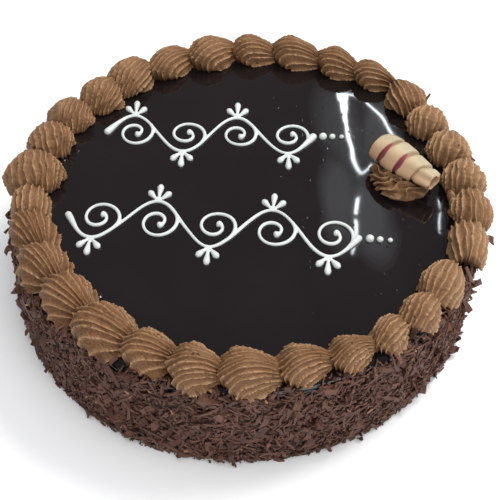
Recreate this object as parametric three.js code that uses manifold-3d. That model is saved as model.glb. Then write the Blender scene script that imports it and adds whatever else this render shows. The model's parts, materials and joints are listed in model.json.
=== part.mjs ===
// A round chocolate birthday cake: sponge, poured glaze, a coat of chocolate shavings on the side,
// a border of piped buttercream shells, white piped scrollwork, and a rosette with a chocolate roll.
// Millimetres, +Z up. The cake stands on z = 0 and its axis is the Z axis.
import * as THREE from "three";
import { mergeVertices } from "three/addons/utils/BufferGeometryUtils.js";
import Module from "manifold-3d";

const wasm = await Module();
wasm.setup();

// ---- driving dimensions ----
const RIM_RADIUS = 122; // outside of the glaze
const CAKE_HEIGHT = 57; // top of the glaze
const GAP = 0.3; // between pieces that touch
const GLAZE_THICKNESS = 2.2; // on the flat top
const GLAZE_WALL = 2.7; // where it runs over the edge
const GLAZE_DROP = 4.4; // how far it runs down the side
const GLAZE_ROUND = 4; // radius of its rounded edge
const COAT_THICKNESS = 5.2; // shavings on the side
const COAT_ROUGHNESS = 0.7; // unevenness of their outline
const COAT_FLARE = 0.5; // how much further out they lie at the foot
const COAT_BULGE = 2.3; // and how much further out towards one side
const BULGE_TOWARDS = 215; // degrees
const CAKE_SEGMENTS = 40;

// ---- the shell border ----
const BORDER_START = 119; // degrees, where both runs begin
// Each shell as piped: its pitch along the ring in degrees, its width, the radius it lies at, and its shape.
const ANTICLOCKWISE_SHELLS = [
  [12.5, 21, 114, "pear"], [11.5, 19, 112, "pear"], [12.5, 21, 115, "pear"], [11, 22, 114, "pear"],
  [14, 32, 114, "pear"], [8.5, 20, 112.5, "barrel"], [12, 23, 111.5, "fan"], [12, 25, 111.5, "fan"],
  [13, 25, 110.5, "fan"], [14.5, 26, 110.5, "fan"], [12, 22, 110.5, "fan"], [11.5, 26, 112.5, "scallop"],
  [13.5, 27, 112.5, "scallop"], [12.5, 22, 111.5, "scallop"], [11, 20, 113, "scallop"],
  [9.5, 18, 113.5, "bulb"], [9.5, 19, 114.5, "bulb"], [13.5, 20, 114, "bulb"],
];
const CLOCKWISE_SHELLS = [
  [13, 19, 113.5, "scallop"], [12.5, 23, 115, "scallop"], [12, 20, 116, "scallop"],
  [13.5, 22, 117, "scallop"], [12, 20, 117.5, "scallop"], [10.5, 17, 119.5, "scallop"],
  [13.5, 18, 118, "pear"], [11, 21, 114, "pear"], [12, 22, 115, "pear"], [10, 24, 116, "pear"],
  [12, 22, 118, "pear"], [13.5, 20, 119, "pear"],
];
// How wide and how high each shape is at its head and its tail, as shares of its fullest, and where that is.
const SHELL_SHAPES = {
  fan: { head: [0.85, 0.45], peak: 0.25, tail: [0.25, 0.35] },
  scallop: { head: [0.6, 0.5], peak: 0.38, tail: [0.3, 0.4] },
  bulb: { head: [0.5, 0.5], peak: 0.48, tail: [0.4, 0.45] },
  pear: { head: [0.5, 0.7], peak: 0.6, tail: [0.65, 0.5] },
  barrel: { head: [0.85, 0.75], peak: 0.5, tail: [0.8, 0.65] },
};
const SHELL_HEIGHT = { base: 10, perWidth: 0.3 };
const SHELL_FLUTES = 5;
const SHELL_SECTIONS = [0, 0.2, 0.42, 0.7, 1]; // places along a shell
const FLUTE_DEPTH = 0.1; // share of the section
const HEAD_REACH = 1.5; // a head starts this far before its place
const TAIL_REACH = 3; // a tail runs this far under the next head

// ---- the rosette and the roll on it ----
const ROSETTE = { x: 83, y: 12, radius: 17.5, height: 10.5, flutes: 11, rings: 4, twist: 0.9 };
const ROLL = {
  wideEnd: [72.6, 26.2, 12.3], // centres of its two ends, from the top of the glaze
  narrowEnd: [97.6, -1.8, 12.7],
  wideRadius: 8.8,
  narrowRadius: 5,
  bore: 2.6,
  turns: 3.5,
  step: 1.3,
};

// ---- the white piping ----
const PIPING = { halfWidth: 0.95, height: 1.7, bulb: 2.1 };
const UPPER_VINE = { from: [-78, 50], to: [38, 46], halfWaves: 4, sway: 14, side: 1 };
const LOWER_VINE = { from: [-93, -12], to: [58, -29], halfWaves: 5, sway: 14, side: -1 };
const SCROLL = { leaves: 0.84, radius: 0.36, end: 0.08, turn: 2.5 };
const SPRIG = [[-40, 8], [0, 11], [40, 8]]; // each drop's lean in degrees and its length
const TRAIL = { gap: 5.2, radii: [2.2, 1.7, 1.3] }; // dots that follow the end of a vine

const degrees = THREE.MathUtils.degToRad;
const mix = THREE.MathUtils.lerp;
const ease = (t) => t * t * (3 - 2 * t);

// ---- materials ----
const finish = (color, roughness) => new THREE.MeshStandardMaterial({ color, roughness, metalness: 0 });
const sponge = finish(0x3a231c, 0.9);
const chocolateGlaze = finish(0x1d1a1b, 0.08);
const shavings = finish(0x4d3733, 0.7);
const buttercream = finish(0x8f6a4b, 0.6);
const whiteIcing = finish(0xdfe3e0, 0.35);
const paleChocolate = finish(0xd8c79c, 0.5);

const cake = new THREE.Group();
const topOfCake = new THREE.Group();
topOfCake.position.z = CAKE_HEIGHT + GAP;
cake.add(topOfCake);

function addMesh(parent, name, geometry, material) {
  const mesh = new THREE.Mesh(geometry, material);
  mesh.name = name;
  parent.add(mesh);
  return mesh;
}

// ---- helpers for closed solids ----
// A closed body from rings of equal numbers of points, each ring joined to the next, with both ends filled
// from a point of their own. Each ring runs anticlockwise seen from the far end of the row of rings.
function bodyFromRings(rings, firstCentre, lastCentre) {
  const count = rings[0].length;
  const points = [...rings.flat(), firstCentre, lastCentre];
  const first = points.length - 2;
  const last = points.length - 1;
  const faces = [];
  rings.slice(1).forEach((_, i) => {
    for (let k = 0; k < count; k += 1) {
      const a = i * count + k;
      const b = i * count + ((k + 1) % count);
      faces.push(a, b, b + count, a, b + count, a + count);
    }
  });
  const start = (rings.length - 1) * count;
  for (let k = 0; k < count; k += 1) {
    const next = (k + 1) % count;
    faces.push(first, next, k);
    faces.push(last, start + k, start + next);
  }
  const geometry = new THREE.BufferGeometry();
  geometry.setAttribute("position", new THREE.Float32BufferAttribute(points.flat(), 3));
  geometry.setIndex(faces);
  return geometry;
}

function solidOf(geometry) {
  const bare = geometry.clone();
  bare.deleteAttribute("normal");
  bare.deleteAttribute("uv");
  const merged = mergeVertices(bare, 1e-4);
  const vertProperties = new Float32Array(merged.attributes.position.array);
  const triVerts = new Uint32Array(merged.index.array);
  return new wasm.Manifold(new wasm.Mesh({ numProp: 3, vertProperties, triVerts }));
}

function geometryOf(solid) {
  const { vertProperties, triVerts } = solid.getMesh();
  const geometry = new THREE.BufferGeometry();
  geometry.setAttribute("position", new THREE.BufferAttribute(vertProperties, 3));
  geometry.setIndex(new THREE.BufferAttribute(triVerts, 1));
  return geometry;
}

function cutAway(geometry, cutters) {
  const whole = solidOf(geometry);
  return geometryOf(cutters.reduce((left, cutter) => left.subtract(solidOf(cutter)), whole));
}

// ---- sponge, glaze and coat ----
function lathe(profile, segments) {
  const geometry = new THREE.LatheGeometry(profile.map(([r, z]) => new THREE.Vector2(r, z)), segments);
  return geometry.rotateX(Math.PI / 2);
}

const spongeRadius = RIM_RADIUS - GLAZE_WALL - GAP;
const spongeTop = CAKE_HEIGHT - GLAZE_THICKNESS - GAP;
const lipBottom = CAKE_HEIGHT - GLAZE_DROP;

function makeSponge() {
  const profile = [[0, 0], [spongeRadius, 0], [spongeRadius, spongeTop], [0, spongeTop]];
  addMesh(cake, "cake", lathe(profile, CAKE_SEGMENTS), sponge);
}

function makeGlaze() {
  const under = CAKE_HEIGHT - GLAZE_THICKNESS;
  const inside = RIM_RADIUS - GLAZE_WALL;
  const profile = [[0, under], [inside, under], [inside, lipBottom], [RIM_RADIUS, lipBottom]];
  for (const turn of [0, 45, 90]) {
    const a = degrees(turn);
    profile.push([
      RIM_RADIUS - GLAZE_ROUND * (1 - Math.cos(a)),
      CAKE_HEIGHT - GLAZE_ROUND * (1 - Math.sin(a)),
    ]);
  }
  profile.push([0, CAKE_HEIGHT]);
  addMesh(cake, "glaze", lathe(profile, CAKE_SEGMENTS), chocolateGlaze);
}

// A ring round the sponge whose outside is uneven, as a pressed-on coat is, and thicker on one side.
function makeCoat() {
  const inside = spongeRadius + GAP;
  const outside = spongeRadius + COAT_THICKNESS;
  const top = lipBottom - GAP;
  const shoulder = outside - COAT_THICKNESS * 0.2;
  const profile = [
    [inside, 0], [outside, 0], [outside, top * 0.35], [outside, top * 0.65],
    [shoulder, top * 0.94], [inside + GAP * 3, top], [inside, top], [inside, 0],
  ];
  const ring = lathe(profile, CAKE_SEGMENTS);
  const place = ring.attributes.position;
  for (let i = 0; i < place.count; i += 1) {
    const [x, y, z] = [place.getX(i), place.getY(i), place.getZ(i)];
    const radius = Math.hypot(x, y);
    if (radius < outside - COAT_THICKNESS * 0.5) continue;
    const a = Math.atan2(y, x);
    const wave = Math.sin(17 * a + z * 0.3) + Math.sin(29 * a - z * 0.5) + Math.sin(11 * a + z);
    const low = 1 - z / top;
    const bulge = Math.max(0, Math.cos(a - degrees(BULGE_TOWARDS))) * mix(COAT_BULGE / 3, COAT_BULGE, low);
    const scale = 1 + ((COAT_ROUGHNESS * wave) / 3 + COAT_FLARE * low + bulge) / radius;
    place.setXY(i, x * scale, y * scale);
  }
  addMesh(cake, "flake_coat", ring, shavings);
}

// ---- one piped shell ----
// It lies along +X from its head to its tail, on z = 0. grow gives the plain, slightly larger body that
// clears the shell before it.
function shellGeometry({ length, width, height, shape }, grow = 0) {
  const { head, peak, tail } = SHELL_SHAPES[shape];
  const flutes = grow ? 4 : SHELL_FLUTES;
  const depth = grow ? 0 : FLUTE_DEPTH;
  const share = (t, which) =>
    t < peak
      ? mix(head[which], 1, Math.sin((Math.PI / 2) * (t / peak)))
      : mix(1, tail[which], ease((t - peak) / (1 - peak)));
  const rings = [];
  for (const t of SHELL_SECTIONS) {
    const x = mix(-HEAD_REACH - grow, length, t);
    const half = (width / 2) * share(t, 0) + grow;
    const crown = height * share(t, 1) + grow;
    const ring = [[x, 0, -grow]];
    for (let k = 0; k <= 2 * flutes; k += 1) {
      const a = (Math.PI * k) / (2 * flutes);
      const ridge = k % 2 ? 1 - depth : 1;
      const lift = k === 0 || k === 2 * flutes ? 0 : Math.sin(a) ** 0.8 * crown * ridge;
      ring.push([x, half * Math.cos(a) * ridge, lift - grow]);
    }
    rings.push(ring);
  }
  const middle = (ring) => [ring[0][0], 0, ring[1 + flutes][2] * 0.4];
  return bodyFromRings(rings, middle(rings[0]), middle(rings[rings.length - 1]));
}

// The shells of one run, each with the place and heading it is piped at. turn is 1 for anticlockwise and -1
// for clockwise.
function layOut(shells, turn) {
  let angle = BORDER_START;
  return shells.map(([pitch, width, radius, shape], i) => {
    const middle = angle + (turn * pitch) / 2;
    angle += turn * pitch;
    const heading = degrees(middle + turn * 90);
    const run = 2 * radius * Math.tan(degrees(pitch / 2));
    const isLast = i === shells.length - 1;
    const along = new THREE.Vector3(Math.cos(heading), Math.sin(heading), 0);
    const centre = new THREE.Vector3(Math.cos(degrees(middle)), Math.sin(degrees(middle)), 0);
    const start = centre.multiplyScalar(radius).addScaledVector(along, -run / 2);
    const height = SHELL_HEIGHT.base + SHELL_HEIGHT.perWidth * width;
    return { start, heading, length: run + (isLast ? -GAP : TAIL_REACH), width, height, shape };
  });
}

const frameOf = ({ start, heading }) =>
  new THREE.Matrix4().makeRotationZ(heading).setPosition(start);

// The room that other takes, in the frame of shell.
const roomOf = (other, shell) =>
  shellGeometry(other, GAP).applyMatrix4(frameOf(shell).invert().multiply(frameOf(other)));

// Each shell gives way to the next two of its run. Where the runs begin, the clockwise one lies on top, and
// where they meet, the anticlockwise one gives way.
function makeBorder() {
  const left = layOut(ANTICLOCKWISE_SHELLS, 1);
  const right = layOut(CLOCKWISE_SHELLS, -1);
  for (const [run, prefix] of [[left, "shell_left_"], [right, "shell_right_"]]) {
    run.forEach((shell, i) => {
      const covers = run.slice(i + 1, i + 3);
      if (run === left && i === 0) covers.push(right[0]);
      if (run === left && i === left.length - 1) covers.push(right[right.length - 1]);
      const geometry = cutAway(shellGeometry(shell), covers.map((cover) => roomOf(cover, shell)));
      const mesh = addMesh(topOfCake, prefix + String(i + 1).padStart(2, "0"), geometry, buttercream);
      mesh.position.copy(shell.start);
      mesh.rotation.z = shell.heading;
    });
  }
}

// ---- the rolled chocolate ----
// A strip wound into a hollow cone along +X: each turn ends in a step, and the steps run round as a helix.
function rollGeometry(length, grow = 0) {
  const around = grow ? 10 : 12;
  const steps = grow ? 4 : 13;
  const ringAt = (u, radiusAt) => {
    const ring = [];
    for (let k = 0; k < around; k += 1) {
      const share = k / around;
      const radius = radiusAt(u, share);
      const a = 2 * Math.PI * share;
      ring.push([mix(-grow, length + grow, u), radius * Math.cos(a), radius * Math.sin(a)]);
    }
    return ring;
  };
  const outer = (u, share) => {
    const wound = (ROLL.turns * u + share) % 1;
    return mix(ROLL.wideRadius, ROLL.narrowRadius, u) - (grow ? -grow : ROLL.step * wound);
  };
  const rings = Array.from({ length: steps + 1 }, (_, i) => ringAt(i / steps, outer));
  const body = bodyFromRings(rings, [-grow, 0, 0], [length + grow, 0, 0]);
  if (grow) return body;
  const reach = 1;
  const boreRing = (u, shift) => ringAt(u, () => ROLL.bore).map(([x, y, z]) => [x + shift, y, z]);
  const bore = [boreRing(0, -reach), boreRing(1, reach)];
  return cutAway(body, [bodyFromRings(bore, [-reach, 0, 0], [length + reach, 0, 0])]);
}

function rollFrame() {
  const from = new THREE.Vector3(...ROLL.wideEnd);
  const axis = new THREE.Vector3(...ROLL.narrowEnd).sub(from);
  const length = axis.length();
  const turn = new THREE.Quaternion().setFromUnitVectors(new THREE.Vector3(1, 0, 0), axis.normalize());
  return { from, turn, length };
}

function makeRoll() {
  const { from, turn, length } = rollFrame();
  const mesh = addMesh(topOfCake, "chocolate_roll", rollGeometry(length), paleChocolate);
  mesh.position.copy(from);
  mesh.quaternion.copy(turn);
}

// ---- the rosette ----
// A fluted mound whose flutes turn inwards as a piped swirl does, hollowed where the roll lies in it.
function makeRosette() {
  const count = 2 * ROSETTE.flutes;
  const rings = [];
  for (let i = 0; i <= ROSETTE.rings; i += 1) {
    const t = i / (ROSETTE.rings + 1);
    const reach = ROSETTE.radius * Math.cos((t * Math.PI) / 2);
    const lift = ROSETTE.height * Math.sin((t * Math.PI) / 2);
    const ring = [];
    for (let k = 0; k < count; k += 1) {
      const share = k % 2 ? 0.86 : 1;
      const radius = i ? reach * share : reach;
      const a = (2 * Math.PI * k) / count + ROSETTE.twist * t;
      ring.push([radius * Math.cos(a), radius * Math.sin(a), lift * share]);
    }
    rings.push(ring);
  }
  const mound = bodyFromRings(rings, [0, 0, 0], [0, 0, ROSETTE.height]);
  const { from, turn, length } = rollFrame();
  const room = rollGeometry(length, GAP).applyQuaternion(turn).translate(from.x, from.y, from.z);
  room.translate(-ROSETTE.x, -ROSETTE.y, 0);
  const mesh = addMesh(topOfCake, "rosette", cutAway(mound, [room]), buttercream);
  mesh.position.set(ROSETTE.x, ROSETTE.y, 0);
}

// ---- the white piping ----
// A line of icing laid along points on the glaze: a flattened round section of the width given at each point.
function pipedLine(points, halfWidths) {
  const section = [[1, 0], [0.62, 0.8], [-0.62, 0.8], [-1, 0]];
  const rings = points.map((point, i) => {
    const before = points[Math.max(0, i - 1)];
    const after = points[Math.min(points.length - 1, i + 1)];
    const run = after.clone().sub(before).normalize();
    const rise = (PIPING.height * (0.6 + (0.4 * halfWidths[i]) / PIPING.halfWidth)) / 0.8;
    return section.map(([side, up]) => [
      point.x - run.y * side * halfWidths[i],
      point.y + run.x * side * halfWidths[i],
      up * rise,
    ]);
  });
  const middle = (ring) => [(ring[1][0] + ring[2][0]) / 2, (ring[1][1] + ring[2][1]) / 2, ring[1][2] / 2];
  return bodyFromRings(rings, middle(rings[0]), middle(rings[rings.length - 1]));
}

// A vine: a wavy stem, a scroll that leaves it in each half wave and winds in to a bulb, and on each crest a
// sprig of drops. Along the vine is +X here.
function vineLines({ halfWaves, sway, side }, length) {
  const half = length / halfWaves;
  const stemAt = (u) => new THREE.Vector2(u * half, side * sway * Math.sin(Math.PI * u));
  const steps = 4 * halfWaves;
  const stem = Array.from({ length: steps + 1 }, (_, i) => stemAt((i * halfWaves) / steps));
  const lines = [pipedLine(stem, stem.map((_, i) => (i % steps ? PIPING.halfWidth : PIPING.bulb)))];
  for (let k = 0; k < halfWaves; k += 1) {
    const up = side * (k % 2 ? -1 : 1);
    lines.push(scrollLine(stemAt, k + SCROLL.leaves, half, up));
    const crest = stemAt(k + 0.5);
    for (const [lean, reach] of SPRIG) {
      const dropAt = (share) => crest.clone().add(towards(up * degrees(90 + lean), share * reach));
      lines.push(pipedLine([dropAt(0), dropAt(0.8), dropAt(1)], [0.6, 1.8, 1.2]));
    }
  }
  return lines;
}

const towards = (angle, reach) => new THREE.Vector2(reach * Math.cos(angle), reach * Math.sin(angle));

function scrollLine(stemAt, u, half, up) {
  const start = stemAt(u);
  const run = stemAt(u + 0.01).sub(start);
  const first = Math.atan2(run.y, run.x) + (up * Math.PI) / 2;
  const radius = SCROLL.radius * half;
  const centre = start.clone().sub(towards(first, radius));
  const steps = 10;
  const points = [];
  const widths = [];
  for (let i = 0; i <= steps; i += 1) {
    const t = i / steps;
    const a = first - up * SCROLL.turn * Math.PI * t ** 0.85;
    points.push(towards(a, mix(radius, SCROLL.end * half, t)).add(centre));
    widths.push(i === steps ? PIPING.bulb : PIPING.halfWidth);
  }
  return pipedLine(points, widths);
}

function makePiping() {
  for (const [name, vine] of [["upper", UPPER_VINE], ["lower", LOWER_VINE]]) {
    const from = new THREE.Vector2(...vine.from);
    const along = new THREE.Vector2(...vine.to).sub(from);
    const solids = vineLines(vine, along.length()).map(solidOf);
    const whole = solids.reduce((joined, line) => joined.add(line));
    const mesh = addMesh(topOfCake, `piping_${name}`, geometryOf(whole), whiteIcing);
    mesh.position.set(from.x, from.y, 0);
    mesh.rotation.z = along.angle();
    TRAIL.radii.forEach((radius, i) => {
      const dot = lathe([[0, 0], [radius, 0], [radius * 0.8, radius * 0.6], [0, radius * 0.9]], 8);
      const centre = along.clone().setLength(along.length() + TRAIL.gap * (i + 1)).add(from);
      addMesh(topOfCake, `piping_${name}_dot_${i + 1}`, dot, whiteIcing).position.set(centre.x, centre.y, 0);
    });
  }
}

makeSponge();
makeGlaze();
makeCoat();
makeBorder();
makeRoll();
makeRosette();
makePiping();

export default cake;
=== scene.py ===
# %% [markdown]
# # A chocolate birthday cake, finished piece by piece
#
# The cake's plain solids come packed, at their real size. They are the frame of this lesson: the body of
# sponge, the poured glaze, the coat of shavings, thirty piped shells, the white piping, a rosette and a
# rolled curl of pale chocolate. Each step below makes one of them the way a confectioner's hand leaves it,
# in the place where its solid stands, and gives it a finish of its own.

# %% Load the frame
import json
import math

import bmesh
import bpy
import numpy as np
from mathutils import Matrix, Vector, noise

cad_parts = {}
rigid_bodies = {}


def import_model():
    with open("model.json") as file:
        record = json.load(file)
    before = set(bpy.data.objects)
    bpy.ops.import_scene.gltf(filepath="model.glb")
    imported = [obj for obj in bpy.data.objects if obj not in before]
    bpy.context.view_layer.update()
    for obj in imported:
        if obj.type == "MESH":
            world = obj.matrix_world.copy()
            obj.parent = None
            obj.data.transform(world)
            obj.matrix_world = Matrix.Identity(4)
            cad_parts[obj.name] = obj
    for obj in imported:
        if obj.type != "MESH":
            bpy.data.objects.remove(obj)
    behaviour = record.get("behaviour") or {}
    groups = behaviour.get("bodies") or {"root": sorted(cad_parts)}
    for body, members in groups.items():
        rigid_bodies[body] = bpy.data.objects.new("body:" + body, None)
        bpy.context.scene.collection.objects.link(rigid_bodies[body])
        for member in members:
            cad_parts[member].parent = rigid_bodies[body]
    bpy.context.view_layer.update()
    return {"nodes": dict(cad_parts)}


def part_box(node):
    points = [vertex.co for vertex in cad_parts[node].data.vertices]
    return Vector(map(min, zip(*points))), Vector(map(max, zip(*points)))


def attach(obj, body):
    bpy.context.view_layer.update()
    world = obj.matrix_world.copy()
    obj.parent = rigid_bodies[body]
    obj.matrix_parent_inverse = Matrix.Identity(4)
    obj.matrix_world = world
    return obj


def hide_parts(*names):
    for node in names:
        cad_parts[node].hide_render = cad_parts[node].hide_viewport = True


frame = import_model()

MM = 0.001

# %% [markdown]
# ## Sizes read from the frame
#
# Nothing here is measured twice. The frame knows how wide the cake is and where the top of the glaze lies, so
# every later size starts from these few numbers. They are kept in millimetres, because that is how a baker
# thinks, and are turned into metres only when a mesh is made.

# %% Sizes
def box_mm(node):
    """Lowest and highest corner of a solid."""
    return [1000 * np.array(corner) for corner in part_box(node)]


glaze_low, glaze_high = box_mm("glaze")
coat_high = box_mm("flake_coat")[1]
RIM = float(glaze_high[0])
TOP = float(glaze_high[2])
LIP = float(glaze_low[2])
COAT = float(coat_high[0])
COAT_TOP = float(coat_high[2])
print(f"rim {RIM:.1f}, top {TOP:.1f}, glaze lip {LIP:.1f}, coat {COAT:.1f} wide and {COAT_TOP:.1f} high")

# %% [markdown]
# ## Objects and nodes
#
# All that follows is made of two things: objects that hold a mesh or a lamp, and nodes that are linked into
# trees. A short helper for each keeps the recipes readable. The one for nodes sets a node and links it in a
# single call, so that a tree reads from its first node to its last.

# %% Objects
def mix(a, b, t):
    return a + (b - a) * t


def new_object(name, data):
    """An object in the scene, at the origin."""
    thing = bpy.data.objects.new(name, data)
    bpy.context.scene.collection.objects.link(thing)
    return thing


def store(mesh, key, values):
    """Keeps a number for each point of a mesh, or the same one for all, for a material or a tree to read."""
    numbers = np.broadcast_to(np.ravel(values), len(mesh.vertices)).astype(np.float32)
    mesh.attributes.new(key, "FLOAT", "POINT").data.foreach_set("value", numbers)


def new_mesh(name, points_mm, faces=(), edges=(), **numbers):
    """A mesh in metres from points in mm. Each further name is a number to store on its points."""
    mesh = bpy.data.meshes.new(name)
    mesh.from_pydata((np.reshape(points_mm, (-1, 3)) * MM).tolist(), edges, faces)
    for key, values in numbers.items():
        store(mesh, key, values)
    return mesh

# %% Nodes and materials
def add_node(tree, kind, inputs=(), **settings):
    """A node with its settings. inputs maps a socket, by name or number, to a socket or to a value."""
    node = tree.nodes.new(kind)
    for label, value in settings.items():
        setattr(node, label, value)
    for key, value in dict(inputs).items():
        if isinstance(value, bpy.types.NodeSocket):
            tree.links.new(value, node.inputs[key])
        else:
            node.inputs[key].default_value = value
    return node


def new_material(name, roughness, **plain):
    """A material and its tree, with plain values set on the shader's own sockets."""
    material = bpy.data.materials.new(name)
    material.use_nodes = True
    sockets = material.node_tree.nodes["Principled BSDF"].inputs
    sockets["Roughness"].default_value = roughness
    for label, value in plain.items():
        sockets[label.replace("_", " ")].default_value = value
    return material, material.node_tree

# %% [markdown]
# ## Camera, floor and light
#
# The photograph looks down on the cake at about 47 degrees with a fairly long lens. The camera is placed by
# its eye, the way it looks and the way to its right. The floor is plain and pale. The light is a soft key
# high at the back right, which draws thin bright lines on the piped ridges, a broad fill at the front right
# and a soft lamp overhead. A black glaze is a mirror, so what it shows is where the lamps are. Dim panels
# and narrow bright strips hang where the glaze mirrors them on its right half, and the lamp overhead is
# kept out of reflections.

# %% Camera
EYE = Vector((0, -362.213, TOP + 387.575)) * MM
AIM = Vector((0.003823, 0.643544, -0.765400))
RIGHT = Vector((0.999983, -0.005762, 0.000150))
camera = new_object("camera", bpy.data.cameras.new("camera"))
up = RIGHT.cross(AIM).normalized()
camera.matrix_world = Matrix.LocRotScale(EYE, Matrix((RIGHT, up, -AIM)).transposed().to_quaternion(), None)
camera.data.lens = 72
camera.data.sensor_width = 36
camera.data.clip_start = 0.01
bpy.context.scene.camera = camera
bpy.context.scene.view_settings.view_transform = "Standard"
print("camera eye, mm", [round(c / MM) for c in EYE])

# %% Floor
FLOOR_HALF = 6000
corners = [(x * FLOOR_HALF, y * FLOOR_HALF, 0) for x, y in ((-1, -1), (1, -1), (1, 1), (-1, 1))]
floor = new_object("floor", new_mesh("floor", corners, [(0, 1, 2, 3)]))
floor.data.materials.append(new_material("floor_paint", 0.9, Base_Color=(0.92, 0.92, 0.92, 1))[0])

# %% Lamps
MIDDLE = Vector((0, 0, 0.05))


def soft_lamp(name, place, size, watts, colour=(1, 1, 1)):
    """A rectangular area lamp that looks at the middle of the cake, in metres."""
    lamp = new_object(name, bpy.data.lights.new(name, "AREA"))
    lamp.data.shape = "RECTANGLE"
    lamp.data.size, lamp.data.size_y = size
    lamp.data.energy = watts
    lamp.data.color = colour
    lamp.location = place
    lamp.rotation_euler = (MIDDLE - Vector(place)).to_track_quat("-Z", "Y").to_euler()
    return lamp


soft_lamp("key", (0.75, 0.55, 1.35), (0.7, 0.55), 21)
overhead = soft_lamp("overhead", (0.05, -0.15, 1.6), (1.2, 1.0), 9.5)
overhead.visible_glossy = False
soft_lamp("fill", (0.72, -1.34, 0.75), (1.3, 0.9), 10.8)

# %% Lamps that the glaze mirrors
PANELS = [
    # start, end and width in mm of the image in the glaze, radiance
    ((46, 94), (62, 8), 32, 0.36), ((80, 86), (66, 4), 26, 0.54), ((50, 40), (50, -44), 22, 0.55),
    ((60, 24), (68, -50), 28, 0.6), ((44, 92), (86, 74), 20, 0.45),
]
STRIPS = [
    ((55.2, 82), (55.6, 75), 5.8, 26), ((55.6, 76), (56.0, 67), 4.0, 26), ((56.0, 68), (56.2, 58), 2.7, 26),
    ((56.1, 59), (57.4, 26), 1.7, 26), ((57.3, 27), (58.9, 18), 1.6, 22),
    ((58.7, 18.6), (60.5, 15.6), 1.4, 22), ((60.2, 15.6), (62.2, 15.8), 1.3, 22),
    ((61.9, 15.5), (64.2, 18), 1.2, 22), ((63.9, 17.6), (66.6, 22.4), 1.1, 22),
    ((57, 81.8), (67, 78.6), 1.5, 26), ((66.6, 79), (78.6, 60), 1.4, 26),
    ((78.5, 60.4), (82.4, 47.2), 1.3, 24), ((82.3, 47.6), (87, 41.2), 1.1, 24),
    ((61.0, 1), (60.0, -11), 2.0, 24), ((59.6, -15), (57.2, -31), 2.0, 20),
    ((56.8, -33.5), (54.4, -40), 1.5, 16), ((99.7, -2.9), (99.5, -9), 0.6, 20),
    ((99.5, -12), (98.2, -26.8), 0.7, 22),
]
PANEL_LAYERS = 5
PANEL_INSET = 0.06
PANEL_HANG = 0.9
STRIP_HANG = 0.82


def mirrored_lamp(name, image, width, glow, hang):
    """A level lamp, hang metres above the glaze, whose image there runs between two points and is width wide,
    in mm. glow is its radiance, and an area lamp needs four times that for each square metre."""
    away = (hang + EYE.z - TOP * MM) / (EYE.z - TOP * MM)
    eye = np.array(EYE[:2])
    start, end = [eye + away * (np.array(point) * MM - eye) for point in image]
    run = end - start
    size = (float(np.hypot(*run)), width * MM * away)
    place = (*((start + end) / 2), TOP * MM + hang)
    lamp = soft_lamp(name, place, size, 4 * glow * size[0] * size[1], (0.88, 0.95, 1.0))
    lamp.rotation_euler = (0, 0, math.atan2(run[1], run[0]))
    return lamp


# A panel is a stack of ellipses, each a little smaller than the last, so that its edge fades in small steps.
for i, (start, end, width, glow) in enumerate(PANELS):
    for k in range(PANEL_LAYERS):
        inset = PANEL_INSET * k
        image = [mix(np.array(start), np.array(end), t) for t in (inset, 1 - inset)]
        panel = mirrored_lamp(f"panel_{i}_{k}", image, width * (1 - 2 * inset), glow / PANEL_LAYERS,
                              PANEL_HANG + 0.01 * k)
        panel.data.shape = "ELLIPSE"
for i, (start, end, width, glow) in enumerate(STRIPS):
    mirrored_lamp(f"strip_{i}", (start, end), width, glow, STRIP_HANG)
print("mirrored lamps", PANEL_LAYERS * len(PANELS) + len(STRIPS))

# %% Room light
world = bpy.data.worlds.new("room")
world.use_nodes = True
bpy.context.scene.world = world
ray = add_node(world.node_tree, "ShaderNodeLightPath")
strength = add_node(world.node_tree, "ShaderNodeMapRange",
                    {"Value": ray.outputs["Is Glossy Ray"], "To Min": 0.55, "To Max": 0.2})
room_back = world.node_tree.nodes["Background"].inputs
room_back["Color"].default_value = (0.95, 0.97, 1.0, 1)
world.node_tree.links.new(strength.outputs["Result"], room_back["Strength"])
print("room", world.name)

# %% [markdown]
# ## Helpers for meshes
#
# Most pieces here are a grid of points: rows along the piece and columns across it, or rings one above
# another. A few helpers turn such grids into faces, close them and join them. Another one makes the object
# and turns all its faces outwards. A slow wave of noise, the same on every run, gives every hand-made
# surface its unevenness.

# %% Unevenness
def ease(t):
    """A soft step from 0 to 1 as t goes from 0 to 1."""
    t = np.clip(t, 0, 1)
    return t * t * (3 - 2 * t)


def wander(points_mm, size, seed):
    """Smooth noise between about -1 and 1 at each point, with waves about size mm across."""
    shift = Vector((seed * 17.3, seed * 5.1, seed * 9.7))
    waves = [noise.noise(Vector(p) / size + shift) for p in np.reshape(points_mm, (-1, 3)).tolist()]
    return np.reshape(waves, np.shape(points_mm)[:-1]) * 1.7


def uneven(points_mm, amount, size, seeds):
    """The points, moved by up to about amount in waves of the given size, with a seed for each axis."""
    return points_mm + amount * np.column_stack([wander(points_mm, size, seed) for seed in seeds])

# %% Grids and rings
def grid_faces(rows, columns, closed=False, looped=False):
    """Quads over a grid of points. closed joins the last column to the first, looped the last row."""
    r, c = np.meshgrid(np.arange(rows if looped else rows - 1), np.arange(columns if closed else columns - 1),
                       indexing="ij")
    a, b = r * columns + c, r * columns + (c + 1) % columns
    quads = np.stack([a, b, (b + columns) % (rows * columns), (a + columns) % (rows * columns)], -1)
    return quads.reshape(-1, 4).tolist()


def full_turn(count):
    return np.linspace(0, 2 * np.pi, count, endpoint=False)


def ring(radius, z, angles):
    """Points round the Z axis. radius and z may be columns, for one ring in each row."""
    return np.stack([radius * np.cos(angles), radius * np.sin(angles), z + 0 * angles], -1)


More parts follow.
